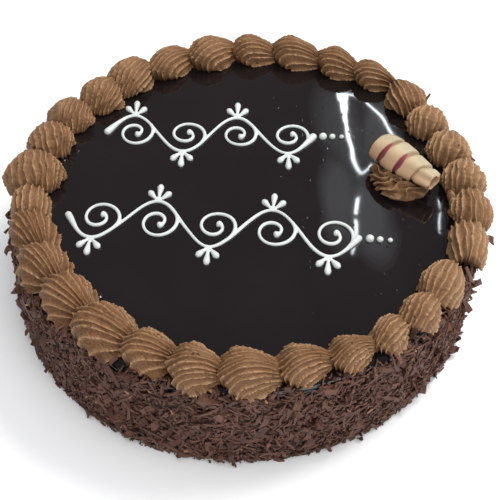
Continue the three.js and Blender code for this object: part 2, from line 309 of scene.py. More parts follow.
def capped(rings, first, last):
    """Points and faces of closed rings, with a point that closes the first ring and one for the last."""
    rows, around = rings.shape[:2]
    start = (rows - 1) * around
    faces = grid_faces(rows, around, closed=True)
    faces += [(rows * around, (k + 1) % around, k) for k in range(around)]
    faces += [(rows * around + 1, start + k, start + (k + 1) % around) for k in range(around)]
    return np.vstack([rings.reshape(-1, 3), first, last]), faces


def joined(forms):
    """The points and the faces of several forms, as one."""
    points, faces = [], []
    for own, own_faces in forms:
        faces += [[i + len(points) for i in face] for face in own_faces]
        points += own.tolist()
    return np.array(points), faces

# %% Pieces
def points_of(mesh):
    """The points of a mesh in mm."""
    flat = np.empty(len(mesh.vertices) * 3, np.float32)
    mesh.vertices.foreach_get("co", flat)
    return flat.reshape(-1, 3).astype(float) * 1000


def put_points(mesh, points_mm):
    mesh.vertices.foreach_set("co", (points_mm * MM).astype(np.float32).ravel())
    mesh.update()


def make_object(name, points_mm, faces, **numbers):
    """A smooth shaded object with its faces turned outwards."""
    mesh = new_mesh(name, points_mm, faces, **numbers)
    shape = bmesh.new()
    shape.from_mesh(mesh)
    bmesh.ops.recalc_face_normals(shape, faces=shape.faces)
    shape.to_mesh(mesh)
    shape.free()
    mesh.shade_smooth()
    return new_object(name, mesh)


def finish_piece(thing, material, slot, *nodes):
    """Gives a piece its finish and its body, and hides the nodes that it stands for. slot is not used."""
    thing.data.materials.clear()
    thing.data.materials.append(material)
    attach(thing, "root")
    if nodes:
        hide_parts(*nodes)
    return thing

# %% [markdown]
# ## Shader groups
#
# Buttercream, royal icing and chocolate all share two effects: a fine grain with a few air pits, and a slow
# drift of shade. Each is a node group, built once, and placed in a material with its own scale and strength.
# The groups give out only masks and heights, and the shader itself stays in the material.

# %% Groups
def maths(tree, operation, a, b):
    """A sum of two values, each a socket or a number."""
    return add_node(tree, "ShaderNodeMath", {0: a, 1: b}, operation=operation).outputs[0]


def ramp(tree, value, low, high):
    """value spread from low..high to 0..1, and clamped."""
    node = add_node(tree, "ShaderNodeMapRange", {"Value": value, "From Min": low, "From Max": high})
    return node.outputs["Result"]


def shader_group(name, inputs, outputs):
    """An empty group with number sockets, and what it is given."""
    group = bpy.data.node_groups.new(name, "ShaderNodeTree")
    for label in inputs:
        socket = group.interface.new_socket(name=label, in_out="INPUT", socket_type="NodeSocketFloat")
        socket.default_value = 1
    for label in outputs:
        group.interface.new_socket(name=label, in_out="OUTPUT", socket_type="NodeSocketFloat")
    return group, add_node(group, "NodeGroupInput").outputs


def build_grain():
    """Fine grain and air pits, as a height and as a mask of the pits."""
    group, given = shader_group("whipped_grain", ["Scale", "Pits"], ["Height", "Pit Mask"])
    place = add_node(group, "ShaderNodeTexCoord").outputs["Object"]
    fine, coarse = [maths(group, "MULTIPLY", given["Scale"], per_metre) for per_metre in (900, 420)]
    grain = add_node(group, "ShaderNodeTexNoise", {"Vector": place, "Detail": 4, "Scale": fine})
    cells = add_node(group, "ShaderNodeTexVoronoi", {"Vector": place, "Scale": coarse})
    chance = add_node(group, "ShaderNodeSeparateColor", {"Color": cells.outputs["Color"]})
    chosen = ramp(group, chance.outputs[0], 0.90, 0.92)
    hollow = ramp(group, cells.outputs["Distance"], 0.32, 0.12)
    mask = maths(group, "MULTIPLY", maths(group, "MULTIPLY", chosen, hollow), given["Pits"])
    height = maths(group, "SUBTRACT", grain.outputs["Fac"], mask)
    add_node(group, "NodeGroupOutput", {"Height": height, "Pit Mask": mask})
    return group


def build_drift():
    """A slow drift of shade, and a finer one, as masks from 0 to 1."""
    group, given = shader_group("shade_drift", ["Scale"], ["Slow", "Fine"])
    place = add_node(group, "ShaderNodeTexCoord").outputs["Object"]
    masks = {}
    for label, per_metre in (("Slow", 60), ("Fine", 340)):
        scale = maths(group, "MULTIPLY", given["Scale"], per_metre)
        waves = add_node(group, "ShaderNodeTexNoise", {"Vector": place, "Detail": 3, "Scale": scale})
        masks[label] = ramp(group, waves.outputs["Fac"], 0.3, 0.7)
    add_node(group, "NodeGroupOutput", masks)
    return group


GRAIN = build_grain()
DRIFT = build_drift()
print("shader groups", GRAIN.name, DRIFT.name)

# %% What a finish is put together from
def use_group(tree, group, **values):
    """What a group gives out in this material."""
    return add_node(tree, "ShaderNodeGroup", values, node_tree=group).outputs


def stored(tree, name):
    """The number stored on the piece's points under this name."""
    return add_node(tree, "ShaderNodeAttribute", attribute_name=name).outputs["Fac"]


def blend(tree, share, a, b):
    """A mix of two colours, each a socket or (r, g, b) in linear light."""
    a, b = [(*colour, 1) if isinstance(colour, tuple) else colour for colour in (a, b)]
    return add_node(tree, "ShaderNodeMix", {0: share, 6: a, 7: b}, data_type="RGBA").outputs[2]


def dress(material, colour, height, strength, distance):
    """Sends a colour, and a height as bump, to the material's shader."""
    tree = material.node_tree
    bump = add_node(tree, "ShaderNodeBump", {"Height": height, "Strength": strength, "Distance": distance})
    shader = tree.nodes["Principled BSDF"]
    tree.links.new(colour, shader.inputs["Base Color"])
    tree.links.new(bump.outputs["Normal"], shader.inputs["Normal"])
    return material

# %% [markdown]
# ## Buttercream
#
# Whipped buttercream is a soft matt brown, a little translucent. The paler ridges and darker hollows are
# painted light: the shells store how close each point is to a ridge, and the colour follows that number,
# with a painted highlight on the crests and a painted shade in the hollows. They also store each point's
# place along and across the piping, so that the fine streaks which the nozzle drags through the cream can
# follow the ridges. The colour is lighter along the streaks as a painted highlight, and darker in the air
# pits as a painted shade.

# %% Buttercream finish
def drag_marks(tree, along, across):
    """Fine streaks that follow the piping. along and across are how often they change."""
    lay = [maths(tree, "MULTIPLY", stored(tree, name), often)
           for name, often in (("lay_along", along), ("lay_across", across))]
    place = add_node(tree, "ShaderNodeCombineXYZ", {0: lay[0], 1: lay[1]}).outputs[0]
    return add_node(tree, "ShaderNodeTexNoise", {"Vector": place, "Scale": 3, "Detail": 3}).outputs["Fac"]


def make_buttercream():
    material, tree = new_material("buttercream", 0.6, Subsurface_Weight=0.1, Subsurface_Scale=0.0012,
                                  Subsurface_Radius=(1.0, 0.55, 0.3), Specular_IOR_Level=0.25)
    drift = use_group(tree, DRIFT, Scale=1.0)
    grain = use_group(tree, GRAIN, Scale=1.0, Pits=1.0)
    # Painted light: the hollow colour is a painted shade, darker than the cream, and drifts at random; the
    # crest colour is a painted highlight.
    hollow = blend(tree, drift["Slow"], (0.122, 0.049, 0.0178), (0.158, 0.067, 0.0255))
    body = blend(tree, stored(tree, "crest"), hollow, (0.410, 0.250, 0.132))
    drag = drag_marks(tree, 0.22, 2.2)
    # The drag streaks are real in the bump; their lighter colour is a painted highlight.
    streak_highlight = maths(tree, "MULTIPLY", ramp(tree, drag, 0.48, 0.68), 0.36)
    body = blend(tree, streak_highlight, body, (0.39, 0.24, 0.13))
    # Air pits darkened: painted shade.
    body = blend(tree, grain["Pit Mask"], body, (0.06, 0.026, 0.012))
    height = maths(tree, "ADD", maths(tree, "MULTIPLY", drag, 2.4), grain["Height"])
    return dress(material, body, height, 0.7, 0.0004)


buttercream = make_buttercream()
print("finish", buttercream.name)

# %% [markdown]
# ## The piped shells
#
# A shell is piped with a star nozzle: the cream swells out at the head, and the nozzle is drawn forward and
# down to a tail, so each notch of the nozzle leaves a ridge that starts on the outline of the head and runs
# to the tail. It could be a sculpted mesh, but thirty of them are easier to make by one function. It lays a
# smooth grid over a mound, ridge by ridge, then presses the hollows in between along the surface's own
# normal. Some hollows are round, and some ridges lap over the next like shingles. What differs from shell
# to shell is a short list of habits. The place and size of each shell are read from its solid, and the
# shells that the hand set down askew have a heading of their own.

# %% Habits of the five shapes
# wide: width against the solid's. flutes: how many hollows. back: how far back each side of the head's
# outline starts. fan: 0 for ridges side by side, 1 for ridges that spread from the tail. bow: how late they
# spread. peak: where it is fullest. head, tail: width and height there. lean: drift to one side. depth: of
# the hollows. tooth: how far ridge ends stand out. lift: height of the ridge ends. edge: thickness of the
# rim. torn: teeth pulled out further. shingle: 1 for lapping ridges. unruly: waviness. bulge: how narrow
# the ridges start. blunt: under 1 for a blunter head. faint: how far the ridges fade on the outer slope.
# lies: a heading in degrees, a length and a width in mm. shift: in mm.
PLAIN = dict(lies=None, shift=(0, 0), lean=0, torn=0, unruly=1, bulge=0, blunt=1, faint=0)
SHAPES = dict(
    fan=dict(wide=1.12, flutes=11, back=(0.56, 0.80), fan=1.0, bow=1.9, peak=0.36, head=(0.8, 0.62),
             tail=(0.34, 0.40), lean=-0.20, depth=1.2, tooth=1.3, lift=0.50, edge=1.2, torn=2, shingle=0.35),
    scallop=dict(wide=1.05, flutes=12, back=(0.50, 0.50), fan=0.9, bow=1.9, peak=0.42, head=(0.6, 0.6),
                 tail=(0.36, 0.42), lean=-0.04, depth=1.15, tooth=0.8, lift=0.48, edge=0.8, shingle=0.47),
    bulb=dict(wide=1.02, flutes=9, back=(0.30, 0.30), fan=0.25, bow=1.8, peak=0.5, head=(0.42, 0.52),
              tail=(0.34, 0.42), depth=1.25, tooth=0.6, lift=0.4, edge=0.6, shingle=0.56, unruly=2.0),
    egg=dict(wide=1.0, flutes=10, back=(0.44, 0.44), fan=0.85, bow=3.2, peak=0.5, head=(0.72, 0.5),
             tail=(0.30, 0.55), depth=1.5, tooth=0.8, lift=0, edge=0.8, shingle=0.6, unruly=2.2, bulge=0.17,
             blunt=0.65),
    barrel=dict(wide=1.03, flutes=9, back=(0.06, 0.06), fan=0, bow=1.8, peak=0.5, head=(0.85, 0.75),
                tail=(0.8, 0.65), depth=1.2, tooth=1.2, lift=0.6, edge=0.9, shingle=0.5, unruly=1.5),
)
LEFT_SHAPES = ["egg"] * 5 + ["barrel"] + ["fan"] * 5 + ["scallop"] * 4 + ["bulb"] * 3
RIGHT_SHAPES = ["scallop"] * 6 + ["egg"] * 6
OWN_HABITS = dict(
    left_01=dict(lies=(50, 27.5, 27.5), shift=(-1.6, -0.8), faint=0.7, flutes=14, shingle=0.5),
    left_02=dict(lies=(60, 22.5, 27), faint=0.6, flutes=13, shingle=0.5),
    left_03=dict(lies=(78, 21, 28), faint=0.65, flutes=14, tail=(0.5, 0.55), shingle=0.45),
    left_04=dict(lies=(97, 21, 28), faint=0.4, flutes=12, tail=(0.5, 0.55), shingle=0.45),
    left_05=dict(lies=(91, 26, 34), faint=0.3, flutes=13, tail=(0.55, 0.55), shingle=0.45),
    left_12=dict(wide=0.93, flutes=14),
    left_13=dict(wide=0.93, flutes=15),
    left_14=dict(wide=0.97, flutes=14, bow=1.5, tail=(0.28, 0.42)),
    left_15=dict(wide=0.95, flutes=14, bow=1.4, tail=(0.26, 0.42)),
    left_16=dict(lies=(50, 20, 17.5), shift=(0.7, 0)),
    left_17=dict(lies=(59, 20.5, 20.5), shift=(1.8, 0.8)),
    left_18=dict(lies=(62, 28, 22.5)),
    right_01=dict(lies=(38, 29, 20)),
    right_02=dict(lies=(24, 28, 24)),
    right_06=dict(lies=(-20, 25, 19), shingle=0.52),
    right_07=dict(lies=(118, 26, 25), tail=(0.22, 0.5), shingle=0.42),
    right_08=dict(lies=(72, 20.5, 26.5), shingle=0.7),
    right_09=dict(lies=(76, 22, 27), tail=(0.42, 0.55), shingle=0.7),
    right_10=dict(lies=(79, 21, 26.5), tail=(0.38, 0.55), shingle=0.7),
    right_11=dict(lies=(88, 22, 24.5), tail=(0.5, 0.6), shingle=0.55),
    right_12=dict(lies=(-95, 23.6, 21), head=(0.85, 0.7), tail=(0.66, 0.62), flutes=8, back=(0.12, 0.12),
                  fan=0.1, shift=(0, 4.2), tooth=1.4, torn=2),
)
print("shapes", list(SHAPES), "with habits of their own", len(OWN_HABITS))

# %% The place of one shell, read from its solid
def shell_place(node, turn, lies, shift):
    """Start, way along and way out of a shell, and its length, width and height in mm. turn is 1 for the
    anticlockwise run and -1 for the other. A shell without lies follows the ring."""
    points = points_of(frame["nodes"][node].data)
    centre = points.mean(axis=0)
    around = np.arctan2(points[:, 1], points[:, 0]) - math.atan2(centre[1], centre[0])
    around = (around + math.pi) % (2 * math.pi) - math.pi
    angle = math.atan2(centre[1], centre[0]) + (around.min() + around.max()) / 2
    outward = np.array([math.cos(angle), math.sin(angle)])
    along = turn * np.array([-outward[1], outward[0]])
    run, side = points[:, :2] @ along, points[:, :2] @ outward
    length, width = run.max() - run.min(), side.max() - side.min()
    start = along * run.min() + outward * (side.min() + side.max()) / 2
    if lies:
        centre = start + along * length / 2 + shift
        heading, length, width = math.radians(lies[0]), lies[1], lies[2]
        along = np.array([math.cos(heading), math.sin(heading)])
        across = np.array([-along[1], along[0]])
        outward = across * math.copysign(1, across @ outward)
        start = centre - along * length / 2
    return start, along, outward, (length, width, points[:, 2].max() - TOP)

# %% The mound under the ridges
def share_at(t, head, peak, tail):
    """Share of the full size at t along a shell: up to 1 at the peak, then down to the tail in a bulge."""
    rising = head + (1 - head) * np.sin(np.pi / 2 * np.clip(t / peak, 0, 1))
    falling = mix(1, tail, np.clip((t - peak) / (1 - peak), 0, 1) ** 2.2)
    return np.where(t < peak, rising, falling)


def smooth_mound(habit, size, t, phi, stray):
    """Points of the mound before its hollows are pressed in. t runs along a ridge, phi across the shell."""
    length, width, height = size
    t, phi = np.broadcast_arrays(t, phi)
    across = np.sin(phi + stray)
    back = mix(*habit["back"], ease((1 + across) / 2))
    x = mix(back * length * (1 - np.cos(phi) ** habit["blunt"]), length, t ** (1 + 0.3 * habit["fan"]))
    along = x / length
    swept = share_at(along, habit["head"][0], habit["peak"], habit["tail"][0])
    fanned = mix(1, habit["tail"][0], t ** habit["bow"]) - habit["bulge"] * np.clip(1 - t / 0.4, 0, 1) ** 2
    y = width / 2 * across * mix(swept, fanned, habit["fan"]) + habit["lean"] * width * (along - 0.5)
    crown = height * share_at(along, habit["head"][1], habit["peak"], habit["tail"][1]) * np.cos(phi) ** 0.7
    rise = np.sqrt(1 - (1 - np.clip(t / mix(0.24, 0.36, habit["fan"]), 0, 1)) ** 2)
    rim = habit["edge"] * (1 - t) ** 2
    base = habit["lift"] * height * np.cos(phi) ** 1.6 + rim
    z = np.maximum(mix(np.minimum(base, crown), crown, rise), rim)
    return np.stack([x, y, z], axis=-1)


def normals_of(grid):
    normal = np.cross(np.gradient(grid, axis=0), np.gradient(grid, axis=1))
    normal /= np.linalg.norm(normal, axis=-1, keepdims=True) + 1e-9
    return normal if normal[..., 2].mean() > 0 else -normal

# %% Ridges, hollows and teeth
ALONG_STEPS = 46
WITHIN_FLUTE = np.array([0, 0.045, 0.12, 0.27, 0.5, 0.73, 0.88, 0.955])
LAP_AT = 0.27


def spread_ridges(flutes, draw):
    """For every column: its flute, its place within the flute and its place across, both from 0 to 1."""
    steps = len(WITHIN_FLUTE)
    ridges = np.arange(flutes + 1) / flutes + draw.uniform(-0.22, 0.22, flutes + 1) / flutes
    ridges[0], ridges[-1] = 0, 1
    flute = np.minimum(np.arange(flutes * steps + 1) // steps, flutes - 1)
    within = np.append(np.tile(WITHIN_FLUTE, flutes), 1.0)
    return flute, within, ridges[flute] * (1 - within) + ridges[flute + 1] * within


def stray_of(unruly, t, across, draw):
    """How far each point of a ridge strays to the side: a sway to one side and two waves."""
    sway = draw.uniform(-0.07, 0.07)
    reach = unruly * draw.uniform(0.02, 0.045)
    wave = reach * np.sin(t * draw.uniform(3, 6) + across * 7 + draw.uniform(0, 6))
    wave = wave + unruly * 0.014 * np.sin(t * 17 + across * 21 + draw.uniform(0, 6))
    return sway * (t - 0.4) + wave


def pull_teeth(grid, habit, t, flute, within, draw):
    """Draws the ends of the ridges out into ragged teeth, the torn ones further."""
    tooth = draw.uniform(0.25, 1.0, habit["flutes"] + 1) * habit["tooth"]
    tooth[[0, -1]] *= 0.4
    torn = 1 + draw.permutation(3)[:habit["torn"]]
    tooth[torn] = draw.uniform(1.6, 2.8, len(torn))
    reach = np.where(within < 0.5, tooth[flute], tooth[flute + 1]) * np.abs(2 * within - 1) ** 1.5
    outwards = grid[0] - grid[4]
    outwards[:, 2] = 0
    outwards /= np.linalg.norm(outwards, axis=1, keepdims=True) + 1e-9
    pull = np.clip(1 - t / 0.10, 0, 1) ** 1.4 * reach
    grid = grid + pull[..., None] * outwards
    grid[..., 2] += pull * 0.3
    return grid


def shell_points(habit, size, draw):
    """The fluted grid of one shell, how near each point is to a ridge as its share of painted highlight, and
    its place along and across.
    """
    flutes, steps = habit["flutes"], len(WITHIN_FLUTE)
    t = (np.linspace(0, 1, ALONG_STEPS) ** 1.3)[:, None]
    flute, within, across = spread_ridges(flutes, draw)
    phi = (across - 0.5) * np.pi
    grid = smooth_mound(habit, size, t, phi, stray_of(habit["unruly"], t, across, draw) * np.cos(phi))
    normal = normals_of(grid)
    spacing = np.linalg.norm(grid[:, steps::steps] - grid[:, :-1:steps], axis=-1)[:, flute]
    own_depth = draw.uniform(0.65, 1.2, flutes)[flute]
    lapped = np.where(within < LAP_AT, within / LAP_AT, (1 - within) / (1 - LAP_AT)) ** 1.1
    valley = mix(1 - np.abs(2 * within - 1) ** 2.6, lapped, habit["shingle"])
    clear = 1 - habit["faint"] * ease((across - 0.35) / 0.3)
    depth = np.minimum(habit["depth"], 0.4 * spacing) * own_depth * clear
    grid = grid - normal * (depth * valley)[..., None]
    lay = np.stack(np.broadcast_arrays(t * size[0], across * flutes, 0), -1)
    streak = wander(lay * (0.16, 2.4, 1), 1.0, draw.integers(1, 60))
    ragged = wander(lay * (0.9, 1.0, 1), 1.0, draw.integers(1, 60))
    lumps = wander(grid, 6.5, draw.integers(1, 60))
    near = 1 - valley
    raised = 0.3 * streak + 0.45 * lumps + 0.5 * ragged * (near * clear + 1.3 * (1 - clear))
    grid = pull_teeth(grid + normal * raised[..., None], habit, t, flute, within, draw)
    # How much painted highlight each point gets: most on narrow crests, and more all over on shingled shells.
    crest = near ** 2.4 * np.clip(spacing / 3.0, 0.4, 1) * (0.8 + 0.6 * ragged)
    crest = crest + 0.7 * (habit["shingle"] - 0.36)
    return grid, np.clip(mix(0.45 + 0.25 * streak, crest, clear), 0, 1), lay

# %% One shell
TUCK = 1.8
DROOP_FROM = RIM - 4
DROOP_OVER = 9
DROOP = 2.6


def close_under(points, rows, columns, floor_z):
    """Adds an underside to an open grid: a ring tucked in under its edge at floor_z, and a centre."""
    number = np.arange(rows * columns).reshape(rows, columns)
    loop = np.concatenate([number[0], number[1:, -1], number[-1, -2::-1], number[-2:0:-1, 0]]).tolist()
    rim = points[loop]
    centre = rim.mean(axis=0)
    inward = (centre - rim) * (1, 1, 0)
    reach = np.linalg.norm(inward, axis=1, keepdims=True) + 1e-9
    under = rim + inward / reach * np.minimum(TUCK, reach * 0.5)
    under[:, 2] = centre[2] = floor_z
    start, count = len(points), len(loop)
    faces = []
    for i in range(count):
        j = (i + 1) % count
        faces.append((loop[i], loop[j], start + j, start + i))
        faces.append((start + i, start + j, start + count))
    return np.vstack([points, under, centre]), faces


def pipe_shell(node, shape, turn, seed):
    """One buttercream shell in the place of its solid. Past the rounded rim of the glaze it sinks."""
    draw = np.random.default_rng(seed)
    habit = {**PLAIN, **SHAPES[shape], **OWN_HABITS.get(node[6:], {})}
    habit["lean"] += draw.uniform(-0.05, 0.05)
    start, along, outward, (length, width, height) = shell_place(node, turn, habit["lies"], habit["shift"])
    grid, crest, lay = shell_points(habit, (length + 1.5, width * habit["wide"], height), draw)
    local, under = close_under(grid.reshape(-1, 3), *crest.shape, -0.5)
    flat = start + np.outer(local[:, 0], along) + np.outer(local[:, 1], outward)
    sinks = DROOP * ease((np.hypot(flat[:, 0], flat[:, 1]) - DROOP_FROM) / DROOP_OVER)
    points = np.column_stack([flat, local[:, 2] + TOP + 0.2 - sinks])
    unseen = np.zeros(len(points) - crest.size)
    numbers = {"crest": crest, "lay_along": lay[..., 0], "lay_across": lay[..., 1]}
    thing = make_object("piped_" + node, points, grid_faces(*crest.shape) + under,
                        **{key: np.append(values, unseen) for key, values in numbers.items()})
    return finish_piece(thing, buttercream, "buttercream", node)

# %% Both runs of shells
shells = [pipe_shell(f"shell_{run}_{i + 1:02d}", shape, turn, 100 * (turn + 2) + i)
          for run, shapes, turn in (("left", LEFT_SHAPES, 1), ("right", RIGHT_SHAPES, -1))
          for i, shape in enumerate(shapes)]
print("shells", len(shells), "faces each", len(shells[0].data.polygons))

# %% [markdown]
# ## Lobes of cream
#
# Where the nozzle was lifted beside one shell, it left three small lobes. They are rounded lumps of rings
# that close in a point at both ends, roughened a little. Small drops of glaze are made the same way later.

# %% Lobes that the nozzle left beside a shell
LUMP_RINGS = np.radians(np.linspace(-80, 80, 9))[:, None]
LOBES = [
    # centre in mm, half sizes, heading
    ((107.8, -2.8, TOP + 3.2), (1.9, 3.4, 3.6), 0.3), ((108.2, -6.6, TOP + 2.6), (1.9, 2.6, 3.0), -0.3),
    ((109.4, 0.6, TOP + 3.0), (1.7, 2.2, 3.0), 0.2),
]


def lump(centre, sizes, heading):
    """Points and faces of a rounded lump, from its centre, its three half sizes and its heading."""
    c, s = math.cos(heading), math.sin(heading)
    rings = ring(np.cos(LUMP_RINGS), np.sin(LUMP_RINGS), full_turn(20)) * sizes
    rings = rings @ np.array([[c, s, 0], [-s, c, 0], [0, 0, 1]]) + centre
    return capped(rings, rings[0].mean(axis=0), rings[-1].mean(axis=0))


def lump_cluster(name, lumps, **numbers):
    """One mesh of several rough lumps."""
    points, faces = joined([lump(*row) for row in lumps])
    return make_object(name, uneven(points, 0.25, 2.5, (41, 42, 43)), faces, **numbers)


finish_piece(lump_cluster("cream_lobes", LOBES, crest=0.5), buttercream, "buttercream")
print("lobes", len(LOBES))

# %% [markdown]
# ## The sponge
#
# The body of the cake is uncut, so nothing shows of it but its foot, seen from below. Its solid is kept as
# it is and gets the finish of a chocolate sponge: a brown crumb with many small pores.

# %% Sponge finish
def make_sponge_finish():
    material, tree = new_material("chocolate_sponge", 0.85, Specular_IOR_Level=0.2)
    drift = use_group(tree, DRIFT, Scale=2.0)
    grain = use_group(tree, GRAIN, Scale=0.7, Pits=1.0)
    crumb = blend(tree, drift["Fine"], (0.075, 0.032, 0.016), (0.125, 0.056, 0.028))
    crumb = blend(tree, drift["Slow"], crumb, (0.095, 0.042, 0.021))
    # Pores darkened: painted shade.
    crumb = blend(tree, grain["Pit Mask"], crumb, (0.03, 0.013, 0.007))
    return dress(material, crumb, grain["Height"], 0.7, 0.0006)


sponge = frame["nodes"]["cake"]
sponge.data.materials.clear()
sponge.data.materials.append(make_sponge_finish())
print("sponge finish on", sponge.name)

# %% [markdown]
# ## The poured glaze
#
# A mirror glaze is poured warm over the cold cake. It levels itself, runs over the rim and sets with a
# rounded edge. Its surface isn't perfectly flat, and a mirror shows that at once, so the disc has many
# rings and two very shallow waves, a slow one and a finer one. The colour is nearly black, a few specks
# stand in it, and the gloss does the rest. Beside the shells a few beads of it were pressed up.

# %% Glaze finish
def make_glaze_finish():
    material, tree = new_material("mirror_glaze", 0.03, Specular_IOR_Level=0.5)
    drift = use_group(tree, DRIFT, Scale=0.4)
    tone = blend(tree, drift["Slow"], (0.0075, 0.0052, 0.0056), (0.0095, 0.0066, 0.0070))
    return dress(material, tone, use_group(tree, GRAIN, Scale=0.9, Pits=1.0)["Pit Mask"], 0.35, 0.0001)


mirror_glaze = make_glaze_finish()
print("finish", mirror_glaze.name)

# %% Glaze
GLAZE_ROUND = 4.0
GLAZE_THICK = 2.4
GLAZE_LIP = 2.6
GLAZE_AROUND = 240


def glaze_outline():
    """Radius and height of every ring: over the top, round the rim, down to the lip and up inside."""
    flat_to = RIM - GLAZE_ROUND
    arc = np.radians(np.linspace(8, 90, 9))
    outline = [(r, TOP) for r in flat_to * np.sin(np.linspace(0.02, 1, 44) * np.pi / 2)]
    outline += [(flat_to + GLAZE_ROUND * np.sin(a), TOP - GLAZE_ROUND * (1 - np.cos(a))) for a in arc]
    outline += [(RIM, mix(TOP - GLAZE_ROUND, LIP, 0.6)), (RIM - 0.3, LIP), (RIM - 1.5, LIP - 0.3)]
    outline += [(RIM - GLAZE_LIP, LIP), (RIM - GLAZE_LIP, TOP - GLAZE_THICK)]
    return np.array(outline)


def pour_glaze():
    radius, level = np.hsplit(glaze_outline(), 2)
    rings = ring(radius, level, full_turn(GLAZE_AROUND))
    on_top = rings[..., 2] > TOP - 0.01
    rings[on_top, 2] += 0.05 * wander(rings[on_top], 45, 3) + 0.008 * wander(rings[on_top], 13, 4)
    runny = rings[..., 2] < LIP + 0.5
    rings[runny, 2] += 0.8 * wander(rings[runny], 14, 5)
    points, faces = capped(rings, (0, 0, TOP), (0, 0, TOP - GLAZE_THICK))
    return finish_piece(make_object("poured_glaze", points, faces), mirror_glaze, "glaze", "glaze")


glaze = pour_glaze()
print("glaze faces", len(glaze.data.polygons))

# %% Beads of glaze beside the shells
BEADS = [
    # place and half size in mm
    (-93.2, 35.6, 1.6), (-99.6, 28.6, 1.3), (-59.0, 85.4, 1.4), (-95.3, -27.1, 1.5), (-88.3, -48.8, 2.0),
    (-72.3, -65.8, 2.4), (-55.6, -81.5, 1.6), (-22.4, -96.0, 1.3),
]
beads = lump_cluster("glaze_beads", [((x, y, TOP), (1.2 * r, r, 0.5 * r), x) for x, y, r in BEADS])
finish_piece(beads, mirror_glaze, "glaze")
print("beads", len(BEADS))

# %% [markdown]
# ## The coat of shavings
#
# Handfuls of grated chocolate are pressed against the side until nothing shows through. A bump in a
# material would look painted on, so here a rough wall stands where the solid coat does, darker than the
# flakes as a painted shade in the gaps between them, and thousands of real little flakes are set on it by
# Geometry Nodes: points are strewn over the wall, each gets a flake picked from a few shapes, turned and
# tilted at random, and the result is made one plain mesh for each kind. Sticks, strands and chips make most
# of the texture, and crumbs fill in. Straws, shards and proud flakes are the few large ones that stand out,
# and a few crumbs are pale. Single flakes at the rim are laid one by one.

# %% Shavings finish
def make_shavings_finish(name, low, high, roughness):
    material, tree = new_material(name, roughness, Specular_IOR_Level=0.35)
    dust = maths(tree, "MULTIPLY", use_group(tree, DRIFT, Scale=3.0)["Fine"], 0.35)
    tint = blend(tree, dust, blend(tree, stored(tree, "tint"), low, high), (0.05, 0.024, 0.018))
    return dress(material, tint, use_group(tree, GRAIN, Scale=1.6, Pits=0.6)["Height"], 0.4, 0.0002)


shavings_finish = make_shavings_finish("grated_chocolate", (0.069, 0.027, 0.017), (0.149, 0.064, 0.041), 0.62)
# The wall is darker than the flakes: a painted shade in the gaps between them.
wall_shade_finish = make_shavings_finish("packed_chocolate", (0.030, 0.013, 0.010), (0.055, 0.025, 0.019), 0.85)
crumb_finish = make_shavings_finish("pale_crumbs", (0.16, 0.075, 0.040), (0.42, 0.22, 0.12), 0.7)
print("finishes", shavings_finish.name, wall_shade_finish.name, crumb_finish.name)

# %% How far out the coat lies
COAT_ANGLES = np.radians(np.arange(0, 360, 3))
WALL_ANGLES = full_turn(360)


def coat_table():
    """Levels of the solid coat, and the radius of its outside at each level, every three degrees."""
    points = points_of(frame["nodes"]["flake_coat"].data)
    radius = np.hypot(points[:, 0], points[:, 1])
    outside = radius > radius.min() + 2.5
    points, radius = points[outside], radius[outside]
    around = np.arctan2(points[:, 1], points[:, 0])
    levels = np.unique(np.round(points[:, 2]))
    near = [np.abs(points[:, 2] - level) < 1 for level in levels]
    rows = [np.interp(COAT_ANGLES, around[here], radius[here], period=2 * np.pi) for here in near]
    return levels, np.array(rows)


LEVELS, LEVEL_RADII = coat_table()


def coat_radius(z):
    """Radius of the coat at each angle of the wall, for one height in mm."""
    by_level = [np.interp(WALL_ANGLES, COAT_ANGLES, row, period=2 * np.pi) for row in LEVEL_RADII]
    share = np.interp(z, LEVELS, np.arange(len(LEVELS)))
    low = min(int(share), len(LEVELS) - 2)
    return mix(by_level[low], by_level[low + 1], share - low)


print("coat levels", LEVELS, "radii", LEVEL_RADII.min(axis=1).round(1), LEVEL_RADII.max(axis=1).round(1))

# %% The wall behind the flakes
WALL_ROWS = 24
WALL_BACK = 1.7
WALL_THICK = 2.8


def wall_rings(heights):
    return np.array([ring(coat_radius(z) - WALL_BACK, z, WALL_ANGLES) for z in heights])


def build_wall():
    """A closed ring with a rough outside, drawn in under the rim of the glaze at its top."""
    points = wall_rings(np.linspace(0, COAT_TOP, WALL_ROWS))
    swell = 1 + (0.6 * wander(points, 4, 11) + 0.4 * wander(points, 28, 12)) / COAT
    points[..., :2] *= swell[..., None]
    points[-1, :, :2] *= (RIM - 0.4) / COAT
    back = [ring(RIM - WALL_THICK, z, WALL_ANGLES) for z in (COAT_TOP, 0)]
    faces = grid_faces(WALL_ROWS + len(back), len(WALL_ANGLES), closed=True, looped=True)
    wall = make_object("coat_wall", np.concatenate([points, back]), faces)
    return finish_piece(wall, wall_shade_finish, "shavings", "flake_coat")


print("wall faces", len(build_wall().data.polygons))

# %% Where flakes can stick
OVER_RIM = ((0.9, 53.6), (0.2, 55.2), (-1.6, 56.7), (-4.0, 57.2), (-7.0, 57.3))
THIN_FROM = 53.4
THIN_OVER = 3.8
STICK_INWARD = 7


def sticking_skin():
    """The outside of the wall and the rounded rim above it, with how likely a flake sticks at each point."""
    over = [ring(RIM + out, z, WALL_ANGLES) for out, z in OVER_RIM]
    points = np.concatenate([wall_rings(np.linspace(0.4, COAT_TOP - 0.8, WALL_ROWS)), over])
    past = np.clip((points[..., 2] - THIN_FROM) / THIN_OVER, 0, 1)
    inward = np.clip((RIM - np.hypot(points[..., 0], points[..., 1])) / STICK_INWARD, 0, 1)
    cover = np.clip(1.15 - 0.55 * past - 1.3 * inward + 0.9 * wander(points, 9, 21) * past, 0, 1)
    return new_mesh("sticking_skin", points, grid_faces(*points.shape[:2], closed=True), cover=cover)


skin = sticking_skin()
print("skin points", len(skin.vertices))

